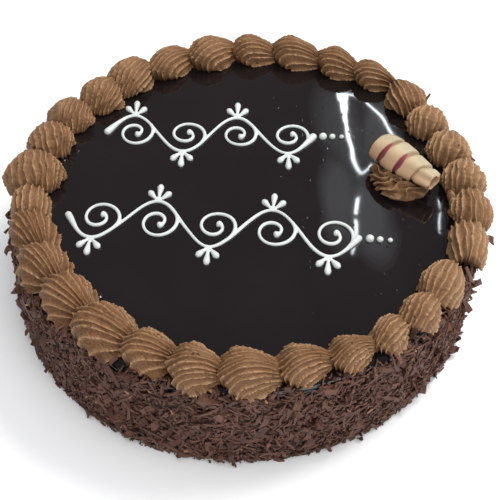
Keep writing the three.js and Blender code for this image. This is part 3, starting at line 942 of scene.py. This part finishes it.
# %% The shapes of a flake
def flake_shape(length, width, thick, curl, sweep, draw, segments=2):
    """Points and faces of a thin flake about its middle, curled, swept to one side, with broken ends."""
    points = []
    twist = draw.uniform(-0.5, 0.5)
    for i in range(segments + 1):
        s = 2 * i / segments - 1
        half = width / 2 * (1 - 0.25 * s ** 2) * draw.uniform(0.65, 1.2)
        y = sweep * s ** 2 + draw.uniform(-0.12, 0.12) * width
        c, sn = math.cos(twist * s), math.sin(twist * s)
        for across, up in ((-half, -thick / 2), (half, -thick / 2), (half, thick / 2), (-half, thick / 2)):
            points.append((length * s / 2 + draw.uniform(-0.12, 0.12) * width, y + across * c - up * sn,
                           -curl * s ** 2 + across * sn + up * c))
    last = 4 * segments
    ends = [(3, 2, 1, 0), (last, last + 1, last + 2, last + 3)]
    return np.array(points), grid_faces(segments + 1, 4, closed=True) + ends


def flake_kind(name, sizes, seed, segments, variants=6):
    """A collection with a few flakes of one kind, each a little different."""
    draw = np.random.default_rng(seed)
    kind = bpy.data.collections.new(name)
    for i in range(variants):
        own = [size * draw.uniform(0.7, 1.3) for size in sizes]
        thing = make_object(f"{name}_{i}", *flake_shape(*own, draw, segments))
        thing.data.shade_flat()
        bpy.context.scene.collection.objects.unlink(thing)
        kind.objects.link(thing)
    return kind

# %% Trees that grow something
def growing_tree(name, inputs, output):
    """An empty Geometry Nodes tree with named inputs, and what it is given."""
    tree = bpy.data.node_groups.new(name, "GeometryNodeTree")
    for label, kind in inputs.items():
        tree.interface.new_socket(name=label, in_out="INPUT", socket_type="NodeSocket" + kind)
    tree.interface.new_socket(name=output, in_out="OUTPUT", socket_type="NodeSocketGeometry")
    return tree, add_node(tree, "NodeGroupInput").outputs


def end_tree(tree, given, shape):
    """Makes what has grown real, gives it its finish and sends it out."""
    real = add_node(tree, "GeometryNodeRealizeInstances", {0: shape})
    paint = add_node(tree, "GeometryNodeSetMaterial",
                     {"Geometry": real.outputs[0], "Material": given["Finish"]})
    add_node(tree, "NodeGroupOutput", {0: paint.outputs[0]})
    return tree


def plain_mesh(thing, name):
    """The mesh of a thing after its modifiers, as a mesh of its own."""
    ready = thing.evaluated_get(bpy.context.evaluated_depsgraph_get())
    mesh = bpy.data.meshes.new_from_object(ready)
    mesh.name = name
    return mesh


def grow(name, base_mesh, tree, values):
    """Runs a tree on a mesh, with a value for each named input, and keeps the result as a plain object."""
    host = new_object(name + "_host", base_mesh)
    modifier = host.modifiers.new("grow", "NODES")
    modifier.node_group = tree
    for socket in tree.interface.items_tree:
        if socket.name in values:
            modifier[socket.identifier] = values[socket.name]
    mesh = plain_mesh(host, name)
    bpy.data.objects.remove(host)
    return new_object(name, mesh)

# %% The tree that strews flakes
def strewing_tree():
    """Points strewn over a surface, a flake on each, turned, tilted and tinted at random."""
    tree, given = growing_tree("strew_flakes", {
        "Surface": "Geometry", "Kind": "Collection", "Per Square Metre": "Float", "Seed": "Int",
        "Smallest": "Float", "Largest": "Float", "Tilt": "Float", "Sink": "Float", "Stand Out": "Float",
        "Finish": "Material"}, "Flakes")

    def any_number(low, high, seed):
        return add_node(tree, "FunctionNodeRandomValue", {2: low, 3: high, "Seed": seed}).outputs[1]

    cover = add_node(tree, "GeometryNodeInputNamedAttribute", {"Name": "cover"}, data_type="FLOAT")
    density = maths(tree, "MULTIPLY", given["Per Square Metre"], cover.outputs[0])
    strew = add_node(tree, "GeometryNodeDistributePointsOnFaces",
                     {"Mesh": given["Surface"], "Density": density, "Seed": given["Seed"]})
    reach = any_number(given["Sink"], given["Stand Out"], 3)
    away = add_node(tree, "ShaderNodeVectorMath", {0: strew.outputs["Normal"], "Scale": reach},
                    operation="SCALE")
    move = add_node(tree, "GeometryNodeSetPosition",
                    {"Geometry": strew.outputs["Points"], "Offset": away.outputs[0]})
    other_way = maths(tree, "MULTIPLY", given["Tilt"], -1)
    tilt = add_node(tree, "ShaderNodeCombineXYZ", {
        0: any_number(other_way, given["Tilt"], 5), 1: any_number(other_way, given["Tilt"], 6),
        2: any_number(0, 2 * math.pi, 7)})
    turn = add_node(tree, "FunctionNodeEulerToRotation", {0: tilt.outputs[0]})
    both = add_node(tree, "FunctionNodeRotateRotation",
                    {0: strew.outputs["Rotation"], 1: turn.outputs[0]}, rotation_space="LOCAL")
    pick = add_node(tree, "GeometryNodeCollectionInfo", {
        "Collection": given["Kind"], "Separate Children": True, "Reset Children": True})
    put = add_node(tree, "GeometryNodeInstanceOnPoints", {
        "Points": move.outputs[0], "Instance": pick.outputs[0], "Pick Instance": True,
        "Rotation": both.outputs[0], "Scale": any_number(given["Smallest"], given["Largest"], 8)})
    tint = add_node(tree, "GeometryNodeStoreNamedAttribute", {
        "Geometry": put.outputs[0], "Name": "tint", "Value": any_number(0, 1, 9)}, domain="INSTANCE")
    return end_tree(tree, given, tint.outputs[0])


STREW = strewing_tree()
print("tree", STREW.name, "nodes", len(STREW.nodes))

# %% Strew every kind
KINDS = {
    # name: (length, width, thick, curl, sweep), segments, per m2, smallest, largest, tilt, sink, stand out
    "sticks": ((4.2, 1.3, 0.5, 0.2, 0.2), 2, 117e3, 0.6, 1.25, 0.38, -0.1, 1.4),
    "strands": ((6.2, 0.85, 0.45, 0.6, 0.8), 3, 58e3, 0.6, 1.3, 0.38, 0.3, 1.9),
    "chips": ((3.2, 2.0, 0.45, 0.3, 0.2), 2, 100e3, 0.55, 1.35, 0.55, -0.3, 1.5),
    "straws": ((11.0, 1.5, 0.5, 0.8, 1.1), 4, 3.6e3, 0.7, 1.3, 0.20, 1.2, 2.0),
    "shards": ((6.8, 3.3, 0.6, 0.5, 0.4), 3, 8.5e3, 0.6, 1.3, 0.36, 0.7, 2.0),
    "proud": ((4.6, 3.2, 0.6, 0.4, 0.2), 2, 7e3, 0.6, 1.3, 1.15, 1.4, 3.2),
    "crumbs": ((1.3, 1.0, 0.7, 0.05, 0.1), 1, 80e3, 0.5, 1.4, 1.30, 0.3, 2.0),
    "pale": ((1.8, 1.2, 0.5, 0.1, 0.1), 1, 5.2e3, 0.5, 1.4, 0.70, 1.4, 2.1),
}
for i, (name, row) in enumerate(KINDS.items()):
    shape_sizes, segments, density, small, large, tilt, sink, stand = row
    kind = flake_kind(name, shape_sizes, 40 + i, segments)
    finish = crumb_finish if name == "pale" else shavings_finish
    thing = grow("shaving_" + name, skin, STREW, {
        "Kind": kind, "Per Square Metre": density, "Seed": 70 + i, "Smallest": small, "Largest": large,
        "Tilt": tilt, "Sink": sink * MM, "Stand Out": stand * MM, "Finish": finish})
    points = points_of(thing.data)
    points[:, 2] = np.maximum(points[:, 2], 0)
    put_points(thing.data, points)
    finish_piece(thing, finish, "shavings")
    for source in list(kind.objects):
        bpy.data.objects.remove(source)
    bpy.data.collections.remove(kind)
    print(name, "faces", len(thing.data.polygons))

# %% Single flakes that stand out at the rim
LOOSE_THICK, LOOSE_CURL, LOOSE_SWEEP = 0.7, 0.6, 0.4
LOOSE = [
    # angle and radius of its place, height, length and width, heading from the radius, tilt
    (348.5, 127.5, 52.0, 8.5, 6.5, 15, 25), (346.0, 125.0, 47.0, 7.0, 4.0, -30, 50),
    (12.6, 126.5, 54.5, 5.5, 4.5, 30, -40), (9.2, 127.5, 53.5, 3.6, 2.6, -20, 20),
    (35.6, 128.5, 60.0, 7.0, 1.2, 12, -25), (22.8, 126.0, 56.0, 4.0, 1.6, -15, -35),
    (193.0, 126.5, 49.0, 5.5, 4.0, 25, 30), (203.2, 127.0, 43.0, 6.0, 4.2, -20, 20),
    (336.5, 126.5, 47.0, 6.0, 4.2, 35, -15), (331.0, 126.5, 42.0, 6.5, 3.8, -25, 30),
    (325.0, 126.0, 36.0, 5.5, 4.0, 20, -35), (216.0, 126.0, 33.0, 5.5, 3.6, 15, 35),
    (262.0, 124.0, 55.0, 9.0, 5.0, 80, 10), (243.0, 123.5, 55.5, 8.0, 4.6, 60, -12),
    (288.0, 124.0, 55.0, 8.0, 5.0, 95, 12), (301.0, 124.0, 54.0, 9.0, 4.0, 70, 8),
]


def lay_loose_flakes():
    """One mesh of single flakes, each turned about its own middle and set at its place."""
    draw = np.random.default_rng(64)
    forms, tints = [], []
    for angle, radius, height, length, width, heading, tilt in LOOSE:
        own, faces = flake_shape(length, width, LOOSE_THICK, LOOSE_CURL, LOOSE_SWEEP, draw, 3)
        spin = Matrix.Rotation(math.radians(angle + heading), 3, "Z")
        spin = spin @ Matrix.Rotation(math.radians(tilt), 3, "Y")
        forms.append((own @ np.array(spin).T + ring(radius, height, math.radians(angle)), faces))
        tints += [draw.uniform(0.2, 0.7)] * len(own)
    thing = make_object("shaving_loose", *joined(forms), tint=tints)
    thing.data.shade_flat()
    return finish_piece(thing, shavings_finish, "shavings")


print("loose flakes", len(LOOSE), "faces", len(lay_loose_flakes().data.polygons))

# %% [markdown]
# ## White piping
#
# The lines are royal icing from a small round nozzle: round in section but sagging a little, thicker where
# the hand stops, and fused where two lines cross. The vines of the solids are laid again here with fine steps
# and the small waver of a hand, and both ends of every line get ever thinner rings, so that they stop round.
# A curve with a bevel could do this, but Geometry Nodes let the girth change at every point: they sweep a
# flattened circle along the lines, and a voxel remesh melts them into one skin.

# %% Icing finish
def make_icing_finish():
    material, tree = new_material("royal_icing", 0.32, Subsurface_Weight=0.15, Subsurface_Scale=0.001,
                                  Subsurface_Radius=(1.0, 0.9, 0.8), Specular_IOR_Level=0.45)
    drift = use_group(tree, DRIFT, Scale=1.2)
    tone = blend(tree, drift["Slow"], (0.52, 0.55, 0.53), (0.60, 0.63, 0.605))
    return dress(material, tone, use_group(tree, GRAIN, Scale=1.2, Pits=0.5)["Height"], 0.15, 0.0002)


royal_icing = make_icing_finish()
print("finish", royal_icing.name)

# %% The lines of a vine
LINE_HALF = 0.95
LINE_BULB = 2.0
SCROLL_LEAVES, SCROLL_RADIUS, SCROLL_END, SCROLL_TURN = 0.84, 0.36, 0.08, 2.5
SPRIG = ((-40, 8), (0, 11), (40, 8))
VINES = {
    "upper": {"from": (-78, 50), "to": (38, 46), "half_waves": 4, "sway": 14, "side": 1},
    "lower": {"from": (-93, -12), "to": (58, -29), "half_waves": 5, "sway": 14, "side": -1},
}


def towards(angle, reach):
    return np.array([reach * math.cos(angle), reach * math.sin(angle)])


def swell_to_bulb(steps, both_ends=False):
    """Girth along a line in mm, with a bulb at its end, or at both ends."""
    s = np.linspace(0, 1, steps + 1)
    girth = LINE_HALF * (1 + 0.09 * np.sin(s * steps / 6 + steps))
    for away in (s, 1 - s) if both_ends else (1 - s,):
        girth += (LINE_BULB - LINE_HALF) * np.exp(-(away * steps / 5) ** 2)
    return girth


def vine_lines(vine):
    """Lines of one vine as (points, girths), along +X from the origin: a stem, and on each of its half waves
    a scroll that curls in and a sprig of three drops."""
    waves = vine["half_waves"]
    half = math.dist(vine["from"], vine["to"]) / waves

    def stem_at(u):
        return np.array([u * half, vine["side"] * vine["sway"] * math.sin(math.pi * u)])

    steps, count = 30 * waves, 64
    lines = [(np.array([stem_at(i * waves / steps) for i in range(steps + 1)]), swell_to_bulb(steps, True))]
    for k in range(waves):
        up = vine["side"] * (-1 if k % 2 else 1)
        leaving = stem_at(k + SCROLL_LEAVES)
        run = stem_at(k + SCROLL_LEAVES + 0.01) - leaving
        first = math.atan2(run[1], run[0]) + up * math.pi / 2
        radius = SCROLL_RADIUS * half
        centre = leaving - towards(first, radius)
        scroll = [centre + towards(first - up * SCROLL_TURN * math.pi * (i / count) ** 0.85,
                                   mix(radius, SCROLL_END * half, i / count)) for i in range(count + 1)]
        lines.append((np.array(scroll), swell_to_bulb(count)))
        for lean, reach in SPRIG:
            s = np.linspace(0, 1, 13)
            way = up * math.radians(90 + lean)
            drop = np.array([stem_at(k + 0.5) + towards(way, reach * v) for v in s])
            girth = 0.55 + 1.35 * np.sin(np.pi / 2 * s ** 1.6) ** 1.2
            girth[-1] *= 0.75
            lines.append((drop, girth))
    return lines


print("lines", {label: len(vine_lines(vine)) for label, vine in VINES.items()})

# %% Lines laid by hand
HAND = 0.45
HAND_WAVE = 19
END_RINGS = np.array([0.4, 0.7, 0.9, 0.98])


def by_hand(line, seed):
    """The small waver of a hand that pipes a line."""
    place = np.column_stack([line, 0 * line[:, 0]])
    return line + HAND * np.column_stack([wander(place, HAND_WAVE, seed), wander(place, HAND_WAVE, seed + 7)])


def round_ends(line, girth):
    """A line with a few ever thinner rings added past both ends, so that it stops in a round drop."""
    for _ in range(2):
        line, girth = line[::-1], girth[::-1]
        way = (line[-1] - line[-2]) / np.linalg.norm(line[-1] - line[-2])
        line = np.vstack([line, line[-1] + np.outer(0.75 * girth[-1] * END_RINGS, way)])
        girth = np.append(girth, girth[-1] * np.sqrt(1 - END_RINGS ** 2))
    return line, girth


def lay_lines(name, lines, seed):
    """A mesh of edges with the girth of each point, for the sweeping tree."""
    points, edges, girths = [], [], []
    for line, girth in lines:
        line, girth = round_ends(by_hand(line, seed), girth)
        edges += [(len(points) + i, len(points) + i + 1) for i in range(len(line) - 1)]
        points += [(x, y, 0) for x, y in line]
        girths += list(girth * MM)
    return new_mesh(name, points, edges=edges, girth=girths)

# %% The tree that sweeps icing along lines
def sweeping_tree():
    """Edges become curves, and a flattened circle is swept along them."""
    tree, given = growing_tree("sweep_icing", {
        "Lines": "Geometry", "Sides": "Int", "Flatten": "Float", "Finish": "Material"}, "Icing")
    curve = add_node(tree, "GeometryNodeMeshToCurve", {"Mesh": given["Lines"]})
    circle = add_node(tree, "GeometryNodeCurvePrimitiveCircle", {"Resolution": given["Sides"], "Radius": 1})
    girth = add_node(tree, "GeometryNodeInputNamedAttribute", {"Name": "girth"}, data_type="FLOAT")
    sweep = add_node(tree, "GeometryNodeCurveToMesh", {
        "Curve": curve.outputs[0], "Profile Curve": circle.outputs[0], "Scale": girth.outputs[0],
        "Fill Caps": True})
    size = add_node(tree, "ShaderNodeCombineXYZ", {0: 1, 1: 1, 2: given["Flatten"]})
    squash = add_node(tree, "GeometryNodeTransform", {"Geometry": sweep.outputs[0], "Scale": size.outputs[0]})
    return end_tree(tree, given, squash.outputs[0])


SWEEP = sweeping_tree()
print("tree", SWEEP.name, "nodes", len(SWEEP.nodes))

# %% Pipe both vines and their trails of dots
SIDES = 14
FLATTEN = 0.92
LINE_UP = 0.55
MELT_VOXEL = 0.38 * MM
DOT_RINGS = np.radians(np.linspace(-35, 85, 9))[:, None]


def melt(thing, voxel, smoothing):
    """Voxel remesh and smoothing, applied: separate strokes become one skin."""
    remesh = thing.modifiers.new("melt", "REMESH")
    remesh.mode = "VOXEL"
    remesh.voxel_size = voxel
    soften = thing.modifiers.new("soften", "SMOOTH")
    soften.factor = 0.5
    soften.iterations = smoothing
    mesh = plain_mesh(thing, thing.name)
    thing.modifiers.clear()
    thing.data = mesh
    mesh.shade_smooth()


def pipe_vine(label, vine):
    node = "piping_" + label
    strokes = lay_lines(node + "_lines", vine_lines(vine), len(node) + vine["half_waves"])
    thing = grow(node + "_strokes", strokes, SWEEP,
                 {"Sides": SIDES, "Flatten": FLATTEN, "Finish": royal_icing})
    melt(thing, MELT_VOXEL, 3)
    (x, y), (end_x, end_y) = vine["from"], vine["to"]
    heading = Matrix.Rotation(math.atan2(end_y - y, end_x - x), 4, "Z")
    thing.data.transform(Matrix.Translation((x * MM, y * MM, (TOP + LINE_UP) * MM)) @ heading)
    thing.name = "iced_" + label
    return finish_piece(thing, royal_icing, "white_icing", node)


def pipe_dot(node, k):
    """A round drop where the solid's dot is, a little out of round."""
    low, high = box_mm(node)
    middle, reach = (low + high) / 2, (high[0] - low[0]) / 2
    angles = full_turn(24)
    rings = ring(reach * np.cos(DOT_RINGS), reach * 0.95 * np.sin(DOT_RINGS), angles)
    rings[..., 0] *= 1 + 0.04 * np.sin(2 * angles + k)
    rings += (middle[0], middle[1], TOP + 0.6)
    base, tip = (*middle[:2], TOP - 0.2), (*middle[:2], rings[-1, 0, 2] + 0.02)
    thing = make_object("iced_" + node[7:], *capped(rings, base, tip))
    return finish_piece(thing, royal_icing, "white_icing", node)


for label, vine in VINES.items():
    piped = pipe_vine(label, vine)
    print(piped.name, "faces", len(piped.data.polygons))
    for k in range(3):
        pipe_dot(f"piping_{label}_dot_{k + 1}", k)

# %% [markdown]
# ## The rolled chocolate
#
# A thin sheet of pale chocolate was scraped into a cone. Each turn of the sheet ends in a crisp edge, and
# beyond the edge the roll steps down into a groove and swells up again. A sheet could be rolled up
# point by point, but its inner turns never show. So this is one closed skin, whose radius falls by a step
# each time the winding passes a whole number, with a bore at the narrow end. The groove, darkened to tan
# as a painted shade, and the painted bands in it are stored on the points, and so is a painted bounce
# light that makes the lower side and the bore a lighter, warmer tan.

# %% Pale chocolate finish
def make_pale_chocolate():
    material, tree = new_material("pale_chocolate", 0.5, Subsurface_Weight=0.12, Subsurface_Scale=0.0012,
                                  Subsurface_Radius=(1.0, 0.8, 0.5), Specular_IOR_Level=0.3)
    drift = use_group(tree, DRIFT, Scale=2.2)
    tone = blend(tree, drift["Slow"], (0.35, 0.285, 0.175), (0.42, 0.355, 0.235))
    # Painted bounce light: a lighter, warmer tan on the lower side and in the bore.
    tone = blend(tree, stored(tree, "warm"), tone, (0.63, 0.405, 0.243))
    # Painted shade: the grooves and the bore turn a darker tan.
    tone = blend(tree, stored(tree, "groove"), tone, (0.27, 0.150, 0.080))
    edge = maths(tree, "MULTIPLY", maths(tree, "SUBTRACT", drift["Fine"], 0.5), 0.5)
    painted = maths(tree, "ADD", stored(tree, "paint"), edge)
    tone = blend(tree, ramp(tree, painted, 0.45, 0.55), tone, (0.27, 0.060, 0.078))
    return dress(material, tone, use_group(tree, GRAIN, Scale=1.4, Pits=0.3)["Height"], 0.25, 0.0002)


pale_chocolate = make_pale_chocolate()
print("finish", pale_chocolate.name)

# %% The roll
ROLL_FROM = np.array([72.6, 26.2, TOP + 12.6])
ROLL_TO = np.array([97.6, -1.8, TOP + 13.0])
ROLL_LENGTH = np.linalg.norm(ROLL_TO - ROLL_FROM)
ROLL_AXIS = (ROLL_TO - ROLL_FROM) / ROLL_LENGTH
ROLL_SIDE = np.cross([0, 0, 1], ROLL_AXIS)
ROLL_SIDE /= np.linalg.norm(ROLL_SIDE)
ROLL_UP = np.cross(ROLL_AXIS, ROLL_SIDE)
ROLL_ROWS, ROLL_AROUND = 170, 120
ROLL_TURNS = 3.5
ROLL_STEP = 1.35
ROLL_GIRTH = ((0, 8.2), (0.15, 8.9), (0.32, 9.2), (0.5, 8.4), (0.7, 7.1), (0.85, 6.0), (1, 4.9))
BORE_ROWS = np.array([1.0, 1.004, 0.99, 0.9, 0.7, 0.45, 0.2, 0.0])[:, None]
BORE_GIRTH = ((0, 5.4), (0.7, 3.4), (0.98, 2.7), (1.0, 3.2))
SHARE = np.arange(ROLL_AROUND) / ROLL_AROUND
ANGLE = 2 * np.pi * SHARE


def roll_girth(u):
    return np.interp(u, *zip(*ROLL_GIRTH))


def roll_outside(u):
    """Rings of the wound sheet, and its painted groove shade, its paint and its painted bounce light."""
    wound = (ROLL_TURNS * u + SHARE) % 1
    turn_number = np.floor(ROLL_TURNS * u + SHARE)
    groove = 1 - ease(wound / 0.34)
    facets = (0.16 + 0.4 * u ** 3) * np.cos(5 * ANGLE + 2.2 * u + 1)
    edge_wave = 0.25 * np.sin(3 * ANGLE + turn_number * 2)
    x = ROLL_LENGTH * u + 1.2 * (1 - u) ** 6 * np.sin(ANGLE + 0.8) + edge_wave * groove * 0.3
    radius = roll_girth(u) - ROLL_STEP * groove - 0.25 * (1 - wound) + facets
    radius = radius - 0.25 * np.clip((wound - 0.97) / 0.03, 0, 1)
    wide_band = turn_number < 3
    # Painted shade in the groove beyond each edge, wider on the first turns.
    painted_groove_shade = np.where(wide_band, 1 - ease((wound - 0.15) / 0.2), 1 - ease(wound / 0.12)) * 0.85
    band_reach = 0.36 * np.clip(1 - np.abs((SHARE - 0.42) / 0.175) ** 1.7, 0, 1)
    paint = ease((band_reach - wound) / 0.1) * wide_band * 1.1
    # Painted bounce light on the lower side of the roll.
    warm = np.clip(-np.cos(ANGLE + 0.15), 0, 1) ** 1.6 + 0 * u
    return ring(radius, x, ANGLE), painted_groove_shade, paint, warm


def roll_chocolate():
    """The wound outside and the bore as one looped grid, laid along the roll's axis."""
    outside, painted_groove_shade, paint, warm = roll_outside(np.linspace(0, 1, ROLL_ROWS)[:, None])
    corners = 1 + 0.4 * np.abs(np.cos(1.5 * ANGLE + 0.4))
    bore = ring(np.interp(BORE_ROWS, *zip(*BORE_GIRTH)) * corners, ROLL_LENGTH * BORE_ROWS, ANGLE)
    local = np.concatenate([outside, bore])
    # Painted shade inside the bore, less at its mouth; the bore also gets the painted bounce light.
    inside = np.full(bore.shape[:2], 0.25)
    inside[:2] = 0.05
    thing = make_object(
        "rolled_chocolate", ROLL_FROM + local @ np.array([ROLL_SIDE, ROLL_UP, ROLL_AXIS]),
        grid_faces(*local.shape[:2], closed=True, looped=True), groove=np.concatenate([painted_groove_shade, inside]),
        paint=np.concatenate([paint, 0 * inside]), warm=np.concatenate([warm, 1 + 0 * inside]))
    return finish_piece(thing, pale_chocolate, "pale_chocolate", "chocolate_roll")


print("roll faces", len(roll_chocolate().data.polygons))

# %% [markdown]
# ## The rosette
#
# The cream under the roll is one thick rope from a star nozzle, wound inwards and upwards over a small
# mound while it twists, so that sharp crests and wide hollows run slantwise round it. The rope crosses
# itself, so it is melted into one skin with the mound. The cream gives way where the roll lies in it. Which
# points stand on a crest is measured afterwards, against a smoothed copy of the skin, for the same painted
# highlight on the crests and painted shade in the hollows as on the shells.

# %% The rope of the rosette
ROSETTE = np.array([83.6, 11.4])
ROPE_STEPS, ROPE_AROUND = 320, 120
ROPE_RIDGES = 5
ROPE_TWIST = 19
ROPE_TURNS = 1.8
ROPE_HOLLOW = 0.62


def unit(rows):
    return rows / np.linalg.norm(rows, axis=1, keepdims=True)


def swirled_rope(draw):
    """Points and faces of one thick rope of star section, wound inwards and upwards as it twists."""
    s = np.linspace(0, 1, ROPE_STEPS)[:, None]
    theta = math.radians(130) + 2 * np.pi * ROPE_TURNS * s
    reach = mix(11.3, 1.2, s ** 2.3)
    centre = np.concatenate([reach * np.cos(theta), reach * np.sin(theta), mix(3.6, 6.4, s)], axis=1)
    tangent = unit(np.gradient(centre, axis=0))
    side = np.concatenate([np.cos(theta), np.sin(theta), 0 * theta], axis=1)
    side = unit(side - tangent * (side * tangent).sum(axis=1, keepdims=True))
    upward = np.cross(side, tangent)
    upward *= np.sign(upward[:, 2:])
    phi = np.arange(ROPE_AROUND) / ROPE_AROUND
    sway = 0.55 * np.sin(27 * s) + 0.3 * np.sin(4 * np.pi * phi + 40 * s) + 0.14 * np.sin(67 * s + 9 * phi)
    within = (phi * ROPE_RIDGES - ROPE_TWIST * s + 1.2 * sway) % 1
    crest = np.abs(2 * within - 1) ** 2.4
    girth = mix(7.1, 5.2, s) * (1 + 0.05 * np.sin(23 * s + 1)) * draw.uniform(0.99, 1.01, (ROPE_STEPS, 1))
    girth = girth * np.sqrt(np.clip(s / 0.03, 0, 1)) * np.clip((1 - s) / 0.14, 0, 1) ** 0.6 + 0.05
    radius = girth * (1 - ROPE_HOLLOW * (1 - crest))
    angle = 2 * np.pi * phi
    points = (centre[:, None] + side[:, None] * (radius * np.cos(angle))[..., None]
              + upward[:, None] * (0.88 * radius * np.sin(angle))[..., None])
    last = (ROPE_STEPS - 1) * ROPE_AROUND
    ends = [tuple(range(ROPE_AROUND)), tuple(range(last, last + ROPE_AROUND))]
    return points.reshape(-1, 3), grid_faces(ROPE_STEPS, ROPE_AROUND, closed=True) + ends

# %% Crests of a melted skin
def ridge_share(mesh, rounds, size_mm):
    """How far each point stands out of the mesh smoothed round it, from 0 in hollows to 1 on crests."""
    count = len(mesh.vertices)
    place = points_of(mesh)
    normal = np.array([v.normal for v in mesh.vertices])
    ends = np.empty(len(mesh.edges) * 2, np.int32)
    mesh.edges.foreach_get("vertices", ends)
    a, b = ends[0::2], ends[1::2]
    neighbours = np.bincount(a, minlength=count) + np.bincount(b, minlength=count)
    smooth = place.copy()
    for _ in range(rounds):
        total = np.column_stack([np.bincount(a, smooth[b, k], count) + np.bincount(b, smooth[a, k], count)
                                 for k in range(3)])
        smooth = 0.5 * smooth + 0.5 * total / neighbours[:, None]
    out = ((place - smooth) * normal).sum(axis=1) / size_mm
    return np.clip(0.5 + 0.5 * out, 0, 1)

# %% The rosette
ROLL_CLEAR = 0.25


def give_way(place):
    """Moves the points that the roll would touch out to its skin."""
    from_axis = place - ROLL_FROM
    run = from_axis @ ROLL_AXIS
    away = from_axis - np.outer(run, ROLL_AXIS)
    distance = np.linalg.norm(away, axis=1)
    room = roll_girth(np.clip(run / ROLL_LENGTH, 0, 1)) + ROLL_CLEAR
    inside = (distance < room) & (run > -1) & (run < ROLL_LENGTH + 1)
    place[inside] += away[inside] / distance[inside, None] * (room - distance)[inside, None]
    return place


def pipe_rosette():
    mound = lump((0, 0, 2.5), (9, 9, 5), 0)
    points, faces = joined([swirled_rope(np.random.default_rng(8)), mound])
    thing = make_object("piped_rosette", points + (*ROSETTE, TOP + 0.15), faces)
    melt(thing, 0.3 * MM, 1)
    mesh = thing.data
    place = give_way(uneven(points_of(mesh), 0.22, 3.0, (31, 32, 33)))
    place[:, 2] = np.maximum(place[:, 2], TOP - 0.3)
    put_points(mesh, place)
    # The crests get the painted highlight of the buttercream, and the hollows its painted shade.
    store(mesh, "crest", np.clip(ridge_share(mesh, 14, 0.5) * 2.1 - 0.72, 0, 1))
    store(mesh, "lay_along", place[:, 0])
    store(mesh, "lay_across", place[:, 1])
    return finish_piece(thing, buttercream, "buttercream", "rosette")


print("rosette faces", len(pipe_rosette().data.polygons))
